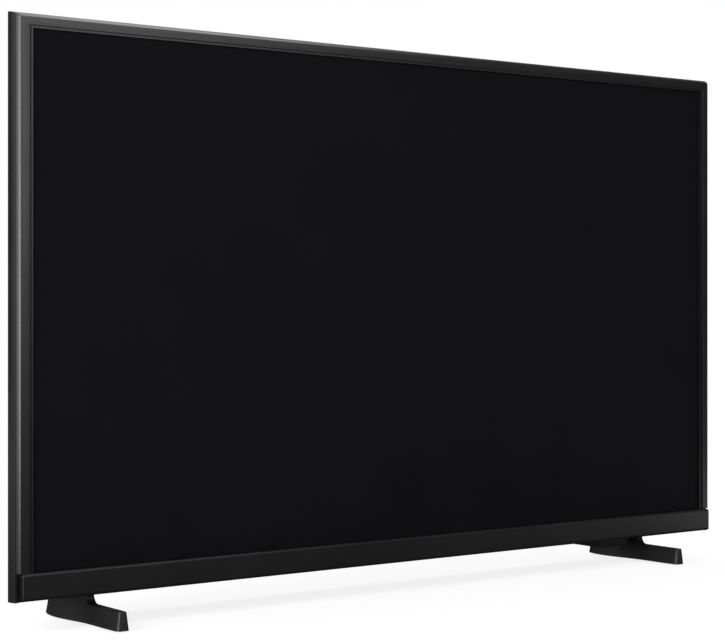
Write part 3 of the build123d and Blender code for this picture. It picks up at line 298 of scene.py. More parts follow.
def glowing(name, strength):
    """Material of the studio that shines evenly with the given strength."""
    material, tree = bare_material(name)
    light = node(tree, "ShaderNodeEmission", {"Color": WHITE, "Strength": strength})
    node(tree, "ShaderNodeOutputMaterial", {"Surface": light.outputs[0]})
    return material


# The angle is counted from -Y towards +X, and the height runs from the floor up.
turn = np.linspace(SCREEN_FROM, SCREEN_TO, SCREEN_STEPS)
ring_x, ring_y = SCREEN_RADIUS * np.sin(turn), -SCREEN_RADIUS * np.cos(turn)
ring = np.stack([ring_x, ring_y, np.zeros_like(turn)], axis=-1)
ring_points = np.concatenate([ring, ring + [0.0, 0.0, SCREEN_HEIGHT]])
meshes = [sheet_mesh("round_screen", ring_points, SCREEN_STEPS)]
meshes += [sheet_mesh(name, flat_sheet(*edges), 2) for name, edges in CLOTHS.items()]
screens = [bpy.data.objects.new(mesh.name, mesh) for mesh in meshes]
black_cloth = glowing("black_cloth", CLOTH_GLOW)
for thing in screens:
    bpy.context.collection.objects.link(thing)
    thing.data.materials.append(black_cloth)
    gloss_only(thing)
print("dark screens", len(screens))

# %% [markdown]
# ## A low white card
# A white card, no higher than a hand, stands on the floor behind the set at the left. Only gloss sees
# it. It brings a light band to the sides of the feet, beside their necks.

# %% Low card
CARD_ENDS = ((-1.45, 0.60), (-1.22, 0.88))
CARD_FOOT, CARD_HEIGHT = 0.001, 0.10
CARD_GLOW = 1.1

card_points = np.array([(x, y, z) for z in (CARD_FOOT, CARD_HEIGHT) for x, y in CARD_ENDS])
low_card = bpy.data.objects.new("low_card", sheet_mesh("low_card", card_points, 2))
bpy.context.collection.objects.link(low_card)
low_card.data.materials.append(glowing("bright_card", CARD_GLOW))
gloss_only(low_card)
print("low card", CARD_HEIGHT, "m high")

# %% [markdown]
# ## Lamps
# Three soft boxes. The one at the left reaches from the floor to nearly twice the set's height and
# stands forward of it, so its glow fades down the flared flank. The one in front glows in the upper left
# of the brushed frame and fades to the right and downwards. The one above, behind and to the right,
# draws the bright top edge and the feet's edges.

# %% Lamps
# Place, target, width, height and glow of each soft box
LAMPS = {
    "left_lamp": ((-1.75, -0.49, 0.575), (-0.48, -0.49, 0.575), 0.70, 1.14, 8.0),
    "front_lamp": ((0.39, -2.05, 1.0), (0.39, 0.0, 1.0), 1.38, 1.30, 2.0),
    "top_lamp": ((0.55, 0.70, 2.1), (0.0, 0.0, 0.6), 0.80, 0.9, 1.6),
}


def soft_box(name, place, target, width, height, glow):
    """Area lamp at place, facing target, whose surface has the given brightness."""
    data = bpy.data.lights.new(name, "AREA")
    data.shape = "RECTANGLE"
    data.size = width
    data.size_y = height
    data.energy = glow * math.pi * width * height
    lamp = bpy.data.objects.new(name, data)
    lamp.location = place
    aim = np.array(target, float) - np.array(place, float)
    aim /= np.linalg.norm(aim)
    lamp.rotation_euler = (math.acos(-aim[2]), 0.0, math.atan2(aim[1], aim[0]) - math.pi / 2)
    lamp.visible_camera = False
    bpy.context.collection.objects.link(lamp)


for name, values in LAMPS.items():
    soft_box(name, *values)
print("lamps", len(LAMPS))

# %% [markdown]
# ## Shared effect: moulded grain
# The tool of a plastic moulding is etched, so its black surface is never a mirror: it has fine pits, and
# broad clouds where the melt ran hotter. One group gives both, the pits as a height and the clouds as a
# mask, and every moulded piece uses it with its own pit size.

# %% Moulded grain
USUAL_PIT = 0.0004
CLOUDS_PER_METRE = 11.0
CLOUD_RANGE = (0.3, 0.7)

moulded_grain, begin, end = new_group(
    "moulded_grain", [("Place", VECTOR, None), ("Pit Size", FLOAT, USUAL_PIT)], ["Height", "Cloud"],
)
frequency = math_node(moulded_grain, "DIVIDE", 1.0, begin.outputs["Pit Size"])
pits = noise(moulded_grain, begin.outputs["Place"], frequency, detail=2.0, roughness=0.6)
melt = noise(moulded_grain, begin.outputs["Place"], CLOUDS_PER_METRE, detail=4.0, roughness=0.55)
cloud = spread(moulded_grain, melt, 0.0, 1.0, *CLOUD_RANGE)
moulded_grain.links.new(pits, end.inputs["Height"])
moulded_grain.links.new(cloud, end.inputs["Cloud"])
print("moulded grain ready")

# %% [markdown]
# ## Shared effect: brushed lines
# The frame's film and the pressed steel carry fine parallel lines. Noise that is pulled long in one
# direction gives them: the place is multiplied by a few per metre along the line and by hundreds across.

# %% Brushed lines
STREAK_RANGE = (0.32, 0.68)

brushed_lines, begin, end = new_group(
    "brushed_lines", [("Place", VECTOR, None), ("Per Metre", VECTOR, None)], ["Height", "Streak"],
)
pulled = node(brushed_lines, "ShaderNodeVectorMath",
              {0: begin.outputs["Place"], 1: begin.outputs["Per Metre"]}, operation="MULTIPLY")
hair = noise(brushed_lines, pulled.outputs[0], 1.0, detail=5.0, roughness=0.75)
brushed_lines.links.new(hair, end.inputs["Height"])
brushed_lines.links.new(spread(brushed_lines, hair, 0.0, 1.0, *STREAK_RANGE), end.inputs["Streak"])
print("brushed lines ready")

# %% [markdown]
# ## Shared effect: settled dust
# A television gathers dust where its surface looks up, in specks and soft drifts. The normal's height
# says how far a surface looks up, and noise breaks the layer.

# %% Settled dust
SPECKS_PER_METRE = 240.0
UPWARD_RANGE = (0.55, 1.0)
SPECK_RANGE = (0.42, 0.75)

settled_dust, begin, end = new_group("settled_dust", [("Place", VECTOR, None)], ["Dust"])
facing = node(settled_dust, "ShaderNodeNewGeometry").outputs["Normal"]
upward = node(settled_dust, "ShaderNodeSeparateXYZ", {0: facing}).outputs["Z"]
specks = noise(settled_dust, begin.outputs["Place"], SPECKS_PER_METRE, detail=8.0, roughness=0.75)
layer = times(settled_dust, spread(settled_dust, upward, 0.0, 1.0, *UPWARD_RANGE),
              spread(settled_dust, specks, 0.0, 1.0, *SPECK_RANGE))
settled_dust.links.new(layer, end.inputs["Dust"])
print("settled dust ready")

# %% [markdown]
# ## Shared effect: handling
# Hands and cloths leave soft smears that change the gloss but hardly the colour. Two noises of unlike
# size are multiplied, so most of the surface stays clean.

# %% Handling smears
WIPES_PER_METRE, WIPE_BEND = 7.0, 1.2
PRINTS_PER_METRE = 42.0
WIPE_RANGE = (0.5, 0.7)
PRINT_RANGE = (0.4, 0.62)
FAINTEST_PRINT = 0.2

handling, begin, end = new_group("handling", [("Place", VECTOR, None)], ["Smear"])
wipes = noise(handling, begin.outputs["Place"], WIPES_PER_METRE, detail=2.0, distortion=WIPE_BEND)
prints = noise(handling, begin.outputs["Place"], PRINTS_PER_METRE, detail=5.0)
smear = times(handling, spread(handling, wipes, 0.0, 1.0, *WIPE_RANGE),
              spread(handling, prints, FAINTEST_PRINT, 1.0, *PRINT_RANGE))
handling.links.new(smear, end.inputs["Smear"])
print("handling smears ready")

# %% [markdown]
# ## Shared effect: rubbed edges
# Edges are touched and wiped most, so they polish or lose their coat first. The Bevel node looks a little
# way round and turns its normal at an edge: where it leaves the true normal, the edge is near.

# %% Rubbed edges
EDGE_REACH = 0.0007
EDGE_SAMPLES = 4
ALIKE_RANGE = (0.75, 0.99)
BREAKS_PER_METRE = 180.0
BREAK_RANGE = (0.35, 0.6)
LEAST_RUB = 0.3

rubbed_edges, begin, end = new_group("rubbed_edges", [("Place", VECTOR, None)], ["Edge"])
true_normal = node(rubbed_edges, "ShaderNodeNewGeometry").outputs["Normal"]
rounded = node(rubbed_edges, "ShaderNodeBevel", {"Radius": EDGE_REACH}, samples=EDGE_SAMPLES).outputs[0]
alike = node(rubbed_edges, "ShaderNodeVectorMath", {0: true_normal, 1: rounded}, operation="DOT_PRODUCT")
breaks = noise(rubbed_edges, begin.outputs["Place"], BREAKS_PER_METRE, detail=3.0)
edge = times(rubbed_edges, spread(rubbed_edges, alike.outputs["Value"], 1.0, 0.0, *ALIKE_RANGE),
             spread(rubbed_edges, breaks, LEAST_RUB, 1.0, *BREAK_RANGE))
rubbed_edges.links.new(edge, end.inputs["Edge"])
print("rubbed edges ready")

# %% [markdown]
# ## Finish helpers
# Every finish of the set is a material with one shader. These helpers open it, tint its colour, fetch the
# shared wear masks and tilt its surface by a fine relief.

# %% Finish helpers
def new_finish(name):
    """Opens a material and gives it with its tree and its shader."""
    finish = bpy.data.materials.new(name)
    finish.use_nodes = True
    return finish, finish.node_tree, finish.node_tree.nodes["Principled BSDF"]


def tint(colour, share):
    """The colour made lighter or darker by a share."""
    return tuple(min(1.0, channel * share) for channel in colour)


def join(tree, value, socket):
    """Links a value to a shader's socket."""
    tree.links.new(value, socket)


def wear(tree, place):
    """The masks of the smears, the rubbed edges and the settled dust."""
    return (use_group(tree, handling, Place=place).outputs["Smear"],
            use_group(tree, rubbed_edges, Place=place).outputs["Edge"],
            use_group(tree, settled_dust, Place=place).outputs["Dust"])


def add_relief(tree, shader, height, distance, strength=1.0):
    """Tilts the shader's surface by a height that runs from 0 to the distance."""
    relief = node(tree, "ShaderNodeBump", {"Height": height, "Strength": strength, "Distance": distance})
    join(tree, relief.outputs[0], shader.inputs["Normal"])


# %% [markdown]
# ## Maker of moulded plastics
# Most of the set is black plastic: the cover, bar, feet and small housings. They share a maker and differ
# in pit size, gloss and how much dust and rubbing they show. The colours are nearly black, and what the
# eye sees is mostly the gloss.

# %% Maker of moulded plastics
DUST = (0.16, 0.155, 0.145)
CLOUD_TINTS = (0.82, 1.2)
CLOUD_GLOSS = (-0.025, 0.03)
WORN_GLOSS = 0.05
GRAIN_STRENGTH = 0.8
# Painted light: the cover's colour behind its rim is this lighter one, so its back shows among the dark
# screens.
MATT_PAINTED_LIGHT_COLOUR = (0.0135, 0.0135, 0.014)
MATT_TINTS = (0.9, 1.12)
MATT_FROM, MATT_FULL = -0.0195, -0.0165


def cloudy(tree, cloud, colour, tints):
    """The colour between its darker and its lighter tint, by the clouds."""
    return shade(tree, cloud, tint(colour, tints[0]), tint(colour, tints[1]))


def moulded_plastic(name, colour, gloss, pit_size, pit_depth, specular=0.5, dust=0.25, rubbed=1.9, matt=0.0):
    """Plastic from an etched mould: gloss is the roughness; behind the rim matt is added to it and the colour
    is painted lighter.
    """
    finish, tree, shader = new_finish(name)
    place = object_place(tree)
    skin = use_group(tree, moulded_grain, Place=place, Pit_Size=pit_size)
    cloud = skin.outputs["Cloud"]
    smear, edge, drift = wear(tree, place)
    base = cloudy(tree, cloud, colour, CLOUD_TINTS)
    rough = spread(tree, cloud, gloss + CLOUD_GLOSS[0], gloss + CLOUD_GLOSS[1])
    if matt:
        # Behind the rim the mould is etched deeper, so the back is duller, and its colour is painted lighter
        # as painted fill light.
        back = node(tree, "ShaderNodeSeparateXYZ", {0: place}).outputs["Y"]
        back = spread(tree, back, 0.0, 1.0, MATT_FROM, MATT_FULL)
        base = shade(tree, back, base, cloudy(tree, cloud, MATT_PAINTED_LIGHT_COLOUR, MATT_TINTS))
        rough = math_node(tree, "ADD", rough, times(tree, back, matt))
    base = shade(tree, edge, base, tint(colour, rubbed))
    base = shade(tree, times(tree, drift, dust), base, DUST)
    join(tree, base, shader.inputs["Base Color"])
    rough = math_node(tree, "ADD", rough, times(tree, smear, WORN_GLOSS))
    rough = math_node(tree, "SUBTRACT", rough, times(tree, edge, WORN_GLOSS))
    rough = math_node(tree, "ADD", rough, times(tree, drift, dust))
    join(tree, rough, shader.inputs["Roughness"])
    add_relief(tree, shader, skin.outputs["Height"], pit_depth, GRAIN_STRENGTH)
    shader.inputs["Specular IOR Level"].default_value = specular
    return finish


# %% [markdown]
# ## Moulded finishes
# The cover is the glossiest of the outer plastics in front of its rim, and matt and painted lighter behind
# it. The bar is the blackest, the feet are a little lighter, and the rubber pads and the paper cones hardly
# shine.

# %% Moulded finishes
# Colour, gloss, pit size and pit depth, then specular, dust, rubbed edges and matt where they aren't usual
PLASTICS = {
    "cover_plastic": ((0.0062, 0.0062, 0.0066), 0.31, 0.00045, 0.000009, 0.55, 0.1, 1.9, 0.13),
    "bar_plastic": ((0.0042, 0.0042, 0.0046), 0.35, 0.0003, 0.000008, 0.5, 0.15),
    "foot_plastic": ((0.0088, 0.0088, 0.0092), 0.38, 0.0004, 0.000014, 0.5, 0.2),
    "module_plastic": ((0.009, 0.009, 0.0095), 0.4, 0.0004, 0.00001, 0.5, 0.1),
    "button_plastic": ((0.010, 0.010, 0.0105), 0.33, 0.0003, 0.000008, 0.5, 0.1),
    "speaker_plastic": ((0.02, 0.02, 0.021), 0.45, 0.0005, 0.00002),
    "frame_plastic": ((0.03, 0.03, 0.031), 0.5, 0.0005, 0.00002),
    "socket_plastic": ((0.012, 0.012, 0.013), 0.4, 0.0003, 0.00001),
    "loom_plastic": ((0.09, 0.012, 0.01), 0.42, 0.0006, 0.00001),
    "pad_rubber": ((0.018, 0.018, 0.018), 0.72, 0.0006, 0.00003, 0.3, 0.35, 1.5),
    "foam": ((0.0048, 0.0048, 0.0052), 0.34, 0.0005, 0.000008, 0.5, 0.0, 1.6),
    "ferrite": ((0.035, 0.033, 0.032), 0.55, 0.0008, 0.00003),
    "cone_paper": ((0.022, 0.021, 0.02), 0.7, 0.0012, 0.00006, 0.3),
}
finishes = {name: moulded_plastic(name, *values) for name, values in PLASTICS.items()}
print("moulded finishes", len(finishes))

# %% [markdown]
# ## The brushed frame
# The frame's face is black plastic under a film with hairlines: along the top they run level, and down
# the sides upright. The lines change the gloss and tilt the surface a little. The rounded flank behind
# the face is the same film wrapped over, so its lamp glow fades softly.

# %% Brushed frame
FACE_SIDE, FACE_TOP = 0.4840, 0.6010
ALONG, ACROSS = 5.0, 420.0
FRAME_BLACK = (0.0055, 0.0055, 0.0060)
LINE_TINTS = (0.7, 1.35)
FRAME_RUBBED = 1.8
FRAME_DUST = 0.1
FRAME_GLOSS = 0.30
LINE_GLOSS = (0.055, -0.045)
FRAME_SMEAR = 0.04
HAIRLINE_DEPTH = 0.00003
FRAME_SPECULAR = 0.55

finish, tree, shader = new_finish("bezel_plastic")
place = object_place(tree)
axes = node(tree, "ShaderNodeSeparateXYZ", {0: place})
# A point belongs to the top run when it is nearer to the top edge than to the side edge.
from_top = math_node(tree, "SUBTRACT", FACE_TOP, axes.outputs["Z"])
from_side = math_node(tree, "SUBTRACT", FACE_SIDE, math_node(tree, "ABSOLUTE", axes.outputs["X"]))
on_side = math_node(tree, "LESS_THAN", from_side, from_top)
level = use_group(tree, brushed_lines, Place=place, Per_Metre=(ALONG, ACROSS, ACROSS))
upright = use_group(tree, brushed_lines, Place=place, Per_Metre=(ACROSS, ACROSS, ALONG))
height, streak = [
    node(tree, "ShaderNodeMix", {0: on_side, 2: level.outputs[key], 3: upright.outputs[key]}).outputs[0]
    for key in ("Height", "Streak")
]
smear, edge, drift = wear(tree, place)
base = cloudy(tree, streak, FRAME_BLACK, LINE_TINTS)
base = shade(tree, edge, base, tint(FRAME_BLACK, FRAME_RUBBED))
base = shade(tree, times(tree, drift, FRAME_DUST), base, DUST)
join(tree, base, shader.inputs["Base Color"])
rough = spread(tree, streak, FRAME_GLOSS + LINE_GLOSS[0], FRAME_GLOSS + LINE_GLOSS[1])
rough = math_node(tree, "ADD", rough, times(tree, smear, FRAME_SMEAR))
join(tree, rough, shader.inputs["Roughness"])
add_relief(tree, shader, height, HAIRLINE_DEPTH, GRAIN_STRENGTH)
shader.inputs["Specular IOR Level"].default_value = FRAME_SPECULAR
finishes["bezel_plastic"] = finish
print("frame gloss", FRAME_GLOSS)

# %% [markdown]
# ## The screen
# The panel's front is a film with an anti-glare surface: a fine sparkle that spreads what it mirrors so
# wide that it looks evenly dark grey.

# %% Screen film
SPARKLE_SIZE, SPARKLE_DEPTH, SPARKLE_STRENGTH = 0.00025, 0.000006, 0.5
SCREEN_DARK, SCREEN_LIGHT = (0.0045, 0.0045, 0.0053), (0.0050, 0.0050, 0.0059)
SCREEN_GLOSS = (0.5, 0.53)
SCREEN_SMEAR = 0.03
SCREEN_SPECULAR = 0.02

finish, tree, shader = new_finish("screen_glass")
place = object_place(tree)
sparkle = use_group(tree, moulded_grain, Place=place, Pit_Size=SPARKLE_SIZE)
smear = use_group(tree, handling, Place=place).outputs["Smear"]
join(tree, shade(tree, sparkle.outputs["Cloud"], SCREEN_DARK, SCREEN_LIGHT), shader.inputs["Base Color"])
rough = spread(tree, sparkle.outputs["Cloud"], *SCREEN_GLOSS)
rough = math_node(tree, "SUBTRACT", rough, times(tree, smear, SCREEN_SMEAR))
join(tree, rough, shader.inputs["Roughness"])
add_relief(tree, shader, sparkle.outputs["Height"], SPARKLE_DEPTH, SPARKLE_STRENGTH)
shader.inputs["Specular IOR Level"].default_value = SCREEN_SPECULAR
finishes["screen_glass"] = finish
print("screen film ready")

# %% [markdown]
# ## The module's window
# The small module under the bar has a window of dark cast plastic. It passes only light that the eye
# doesn't see, so it looks nearly black, with a faint warm tone.

# %% Window
CAST_SIZE = 0.002
WINDOW_DARK, WINDOW_LIGHT = (0.0052, 0.0044, 0.0048), (0.0068, 0.0055, 0.006)
WINDOW_GLOSS = (0.2, 0.26)

finish, tree, shader = new_finish("window_plastic")
cast = use_group(tree, moulded_grain, Place=object_place(tree), Pit_Size=CAST_SIZE)
join(tree, shade(tree, cast.outputs["Cloud"], WINDOW_DARK, WINDOW_LIGHT), shader.inputs["Base Color"])
join(tree, spread(tree, cast.outputs["Height"], *WINDOW_GLOSS), shader.inputs["Roughness"])
finishes["window_plastic"] = finish
print("window ready")

# %% [markdown]
# ## Pressed and drawn metals
# Screws are black zinced steel, the socket shells are tinned, the tray and brackets are galvanised sheet,
# whose zinc froze in flakes, and the bosses are turned brass. All have brushed lines from their making.

# %% Metals
FLAKES_PER_METRE = 160.0
FLAKE_TINT, FLAKE_GLOSS = 0.6, 0.2
METAL_TINTS = (0.85, 1.1)
METAL_RUBBED = 1.35
METAL_GLOSS = (-0.05, 0.06)
METAL_SMEAR = 0.08
METAL_DEPTH, METAL_STRENGTH = 0.000004, 0.5
# Colour, gloss and lines per metre along X, Y and Z, then the share of flakes where there are any
METALS = {
    "screw_steel": ((0.05, 0.05, 0.052), 0.34, (600.0, 600.0, 600.0)),
    "socket_steel": ((0.55, 0.55, 0.53), 0.28, (40.0, 1200.0, 1200.0)),
    "tray_steel": ((0.45, 0.46, 0.47), 0.36, (8.0, 500.0, 500.0), 0.7),
    "bracket_steel": ((0.42, 0.43, 0.44), 0.38, (8.0, 500.0, 500.0), 0.6),
    "speaker_steel": ((0.12, 0.12, 0.125), 0.4, (300.0, 300.0, 300.0)),
    "sink_aluminium": ((0.62, 0.63, 0.64), 0.33, (12.0, 700.0, 700.0)),
    "can_aluminium": ((0.5, 0.51, 0.52), 0.3, (900.0, 900.0, 20.0)),
    "boss_brass": ((0.52, 0.38, 0.16), 0.27, (900.0, 20.0, 900.0)),
}


def drawn_metal(name, colour, gloss, lines, flakes=0.0):
    """Metal with lines of the given count per metre, and zinc flakes as a share of the colour."""
    finish, tree, shader = new_finish(name)
    place = object_place(tree)
    hair = use_group(tree, brushed_lines, Place=place, Per_Metre=lines)
    streak = hair.outputs["Streak"]
    smear = use_group(tree, handling, Place=place).outputs["Smear"]
    edge = use_group(tree, rubbed_edges, Place=place).outputs["Edge"]
    flake = node(tree, "ShaderNodeTexVoronoi", {"Vector": place, "Scale": FLAKES_PER_METRE}).outputs["Color"]
    flake = node(tree, "ShaderNodeSeparateColor", {0: flake}).outputs[0]
    base = cloudy(tree, streak, colour, METAL_TINTS)
    base = shade(tree, times(tree, flake, flakes), base, tint(colour, FLAKE_TINT))
    base = shade(tree, edge, base, tint(colour, METAL_RUBBED))
    join(tree, base, shader.inputs["Base Color"])
    rough = spread(tree, streak, gloss + METAL_GLOSS[0], gloss + METAL_GLOSS[1])
    rough = math_node(tree, "ADD", rough, times(tree, flake, FLAKE_GLOSS * flakes))
    rough = math_node(tree, "ADD", rough, times(tree, smear, METAL_SMEAR))
    join(tree, rough, shader.inputs["Roughness"])
    add_relief(tree, shader, hair.outputs["Height"], METAL_DEPTH, METAL_STRENGTH)
    shader.inputs["Metallic"].default_value = 1.0
    return finish


finishes.update({name: drawn_metal(name, *values) for name, values in METALS.items()})
print("metals", len(METALS))

# %% [markdown]
# ## Boards
# A circuit board is glass cloth in green or tan resin, with copper tracks under the lacquer that show as
# lighter lines. The tracks are bands of equal distance from scattered points, measured in steps along the
# axes, so they run straight and turn sharply. A very fine brick pattern stands for the cloth.

# %% Board tracks
POINTS_PER_METRE = 70.0
BANDS = 90.0
BAND_FROM = 0.55
CLOTH_PER_METRE, CLOTH_GAP = 1500.0, 0.1
CLOTH_TINT = 0.85
BOARD_GLOSS = (0.42, 0.3)
TRACK_DEPTH = 0.00003

board_tracks, begin, end = new_group("board_tracks", [("Place", VECTOR, None)], ["Track", "Cloth"])
cells = node(board_tracks, "ShaderNodeTexVoronoi",
             {"Vector": begin.outputs["Place"], "Scale": POINTS_PER_METRE},
             distance="MANHATTAN", feature="F1")
ripple = math_node(board_tracks, "SINE", times(board_tracks, cells.outputs["Distance"], BANDS))
cloth = node(board_tracks, "ShaderNodeTexBrick",
             {"Vector": begin.outputs["Place"], "Scale": CLOTH_PER_METRE, "Mortar Size": CLOTH_GAP})
board_tracks.links.new(math_node(board_tracks, "GREATER_THAN", ripple, BAND_FROM), end.inputs["Track"])
board_tracks.links.new(cloth.outputs["Fac"], end.inputs["Cloth"])


def laminate(name, resin, copper):
    """Lacquered board: resin with lighter copper tracks in low relief, and the glass cloth as a tone."""
    finish, tree, shader = new_finish(name)
    drawing = use_group(tree, board_tracks, Place=object_place(tree))
    track = drawing.outputs["Track"]
    base = shade(tree, drawing.outputs["Cloth"], resin, tint(resin, CLOTH_TINT))
    join(tree, shade(tree, track, base, copper), shader.inputs["Base Color"])
    join(tree, spread(tree, track, *BOARD_GLOSS), shader.inputs["Roughness"])
    add_relief(tree, shader, track, TRACK_DEPTH)
    return finish


finishes["board_laminate"] = laminate("board_laminate", (0.012, 0.075, 0.03), (0.03, 0.14, 0.06))
finishes["power_laminate"] = laminate("power_laminate", (0.20, 0.13, 0.055), (0.28, 0.19, 0.09))
print("boards ready")

# %% [markdown]
# ## Sheets, lenses and ribbons
# Behind the panel lie thin sheets: a white reflector, milky diffusers and a ribbed prism film. The lenses
# are clear moulded caps, the drivers' ribbons amber film, and the ribbon cable white with printed lines.

# %% Sheets and ribbons
SHEET_PIT = 0.0008
SHEET_TINTS = (0.94, 1.0)
RIB_TINT = 0.88
SHEET_GLOSS = (-0.04, 0.05)
# Colour, gloss, ribs per metre along X, Y and Z, their depth, and the share of light that passes
SHEETS = {
    "white_sheet": ((0.85, 0.85, 0.84), 0.5, (300.0, 300.0, 300.0), 0.00001),
    "optical_sheet": ((0.8, 0.81, 0.82), 0.4, (900.0, 900.0, 4.0), 0.00001, 0.3),
    "lens_plastic": ((0.82, 0.83, 0.8), 0.12, (60.0, 60.0, 60.0), 0.000004, 0.7),
    "film_amber": ((0.42, 0.17, 0.03), 0.25, (4.0, 900.0, 900.0), 0.00001, 0.2),
    "cable_white": ((0.72, 0.72, 0.7), 0.35, (900.0, 3.0, 3.0), 0.00003),
}


def pale_sheet(name, colour, gloss, lines, depth, passes=0.0):
    """Thin film or sheet: faint lines, cloudy colour, and a share of light passing through."""
    finish, tree, shader = new_finish(name)
    place = object_place(tree)
    ribs = use_group(tree, brushed_lines, Place=place, Per_Metre=lines)
    streak = ribs.outputs["Streak"]
    skin = use_group(tree, moulded_grain, Place=place, Pit_Size=SHEET_PIT)
    base = cloudy(tree, skin.outputs["Cloud"], colour, SHEET_TINTS)
    join(tree, shade(tree, streak, base, tint(colour, RIB_TINT)), shader.inputs["Base Color"])
    rough = spread(tree, streak, gloss + SHEET_GLOSS[0], gloss + SHEET_GLOSS[1])
    join(tree, rough, shader.inputs["Roughness"])
    add_relief(tree, shader, ribs.outputs["Height"], depth)
    shader.inputs["Transmission Weight"].default_value = passes
    return finish


finishes.update({name: pale_sheet(name, *values) for name, values in SHEETS.items()})
print("sheets", len(SHEETS))

# %% [markdown]
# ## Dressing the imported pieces
# The record names a material slot for every piece, and the finishes carry the slots' names, so each piece
# gets the finish that its maker would give it.

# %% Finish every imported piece
for label, thing in nodes.items():
    thing.data.materials.clear()
    thing.data.materials.append(finishes[slot_of[label]])
print("dressed", len(nodes), "pieces in", len(finishes), "finishes")

# %% [markdown]
# ## Maker of pieces
# Every new piece below is a surface worked out as whole arrays and put into a mesh at its own place, so
# its object stays at the origin. A closed surface has a volume with a sign: where it comes out negative,
# the faces point inwards, and their order is turned round.

# %% Maker of pieces
def signed_volume(points, faces):
    """Sixth of the sum of the triple products of each face's fan of triangles, for quads and longer faces."""
    total = 0.0
    for size in {len(face) for face in faces}:
        ring = points[np.array([face for face in faces if len(face) == size])]
        first, middle, last = ring[:, :1], ring[:, 1:-1], ring[:, 2:]
        total += np.sum(first * np.cross(middle, last)) / 6.0
    return total


def make_piece(name, points, faces, finish, stands_for=None, crease=35.0):
    """Mesh piece with outward faces, smooth but for edges sharper than crease degrees."""
    if signed_volume(points, faces) < 0:
        faces = [face[::-1] for face in faces]
    mesh = bpy.data.meshes.new(name)
    mesh.from_pydata(points.tolist(), [], faces)
    mesh.validate()
    mesh.shade_smooth()
    mesh.set_sharp_from_angle(angle=math.radians(crease))
    piece = bpy.data.objects.new(name, mesh)
    bpy.context.collection.objects.link(piece)
    mesh.materials.append(finishes[finish])
    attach(piece, BODY)
    if stands_for:
        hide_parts(stands_for)
    print(name, len(mesh.polygons), "faces")


def tube_faces(rows, columns, offset=0):
    """Faces of a grid of rows by columns that closes on itself across, with a face over each end."""
    step = np.arange(columns)
    after = np.roll(step, -1)
    low = offset + np.arange(rows - 1)[:, None] * columns
    sides = np.stack([low + step, low + after, low + columns + after, low + columns + step], axis=-1)
    first = (offset + step[::-1]).tolist()
    last = (offset + (rows - 1) * columns + step).tolist()
    return sides.reshape(-1, 4).tolist() + [first, last]


# %% [markdown]
# ## The front frame's section
# The frame is one section carried round three sides. From behind, the section follows the flank's arc
# forward, turns tightly on to the flat face, turns again at the inner edge and goes back as a thin wall.
# The tight turns catch the thin lights that a solid's plain chamfer misses.

# %% Front frame section
FLANK_RADIUS, FLANK_REACH, FLANK_DEPTH = 0.0264, 0.0054, 0.0160
FRAME_DEPTH, FRAME_WALL = 0.0050, 0.0015
INNER_WALL, INNER_DEPTH = 0.0012, 0.0020
FRONT_TURN, INNER_TURN = 0.00022, 0.0003
FLANK_STEPS, TURN_STEPS, HOLLOW_STEPS = 12, 7, 8


def flank(depth):
    """How far the flank stands out from the face's edge at a depth: an arc that ends upright at the rim."""
    return FLANK_REACH - FLANK_RADIUS + np.sqrt(FLANK_RADIUS**2 - (FLANK_DEPTH - depth) ** 2)


def frame_section():
    """Points (out, inner share, depth) round the section: out from the face's or the inner edge."""
    slope = math.atan(FLANK_DEPTH / math.sqrt(FLANK_RADIUS**2 - FLANK_DEPTH**2))
    start = FRONT_TURN * (1 - math.sin(slope))
    flank_depth = np.linspace(FRAME_DEPTH, start, FLANK_STEPS)
    front = np.linspace(slope, math.pi / 2, TURN_STEPS)[1:]
    front_out = flank(start) + FRONT_TURN * (np.cos(front) - math.cos(slope))
    edge = np.linspace(0.0, math.pi / 2, TURN_STEPS)
    hollow = np.linspace(FRAME_WALL, FRAME_DEPTH, HOLLOW_STEPS)
    out = np.concatenate([flank(flank_depth), front_out, INNER_TURN * (1 - np.sin(edge)),
                          [0.0, INNER_WALL, INNER_WALL], flank(hollow) - FRAME_WALL])
    inner = np.repeat([0.0, 1.0, 0.0], [len(flank_depth) + len(front), len(edge) + 3, len(hollow)])
    depth = np.concatenate([flank_depth, FRONT_TURN * (1 - np.sin(front)), INNER_TURN * (1 - np.cos(edge)),
                            [INNER_DEPTH, INNER_DEPTH, FRAME_WALL], hollow])
    return out, inner, depth


out, inner, depth = frame_section()
print("section of", len(out), "points,", round(1000 * depth.max(), 2), "mm deep")

# %% [markdown]
# ## The front frame
# The section is carried up the left side, over the top and down the right. Each corner is a quarter
# circle of one small radius, so every point of the section turns alike and the long faces stay clean.

# %% Front frame
FACE_Y = -0.0355
FRAME_FOOT = 0.0603
INNER_SIDE, INNER_TOP = 0.0089, 0.0079
CORNER_TURN = 0.0008

side = FACE_SIDE + out - inner * INNER_SIDE
top = FACE_TOP + out - inner * INNER_TOP
bend = np.linspace(0.0, math.pi / 2, TURN_STEPS)[:, None]
left_x = -(side - CORNER_TURN) - CORNER_TURN * np.cos(bend)
left_z = top - CORNER_TURN + CORNER_TURN * np.sin(bend)
foot_z = np.full((1, len(side)), FRAME_FOOT)
path_x = np.concatenate([-side[None], left_x, -left_x[::-1], side[None]])
path_z = np.concatenate([foot_z, left_z, left_z[::-1], foot_z])
path_y = np.broadcast_to(FACE_Y + depth, path_x.shape)
frame_points = np.stack([path_x, path_y, path_z], axis=-1).reshape(-1, 3)
frame_faces = tube_faces(len(path_x), len(side))
make_piece("front_frame_film", frame_points, frame_faces, "bezel_plastic", "front_bezel")

# %% [markdown]
# ## Cross-recess screws
# The cover and feet are held by pan-head screws with a cross recess. The head is a dome by radius, less a
# recess inside four arms, and the shank is a thread: its radius rises and falls with the height plus the
# turn, which is a real helix. The columns of the grid follow the arms' edges, so the recess is crisp.

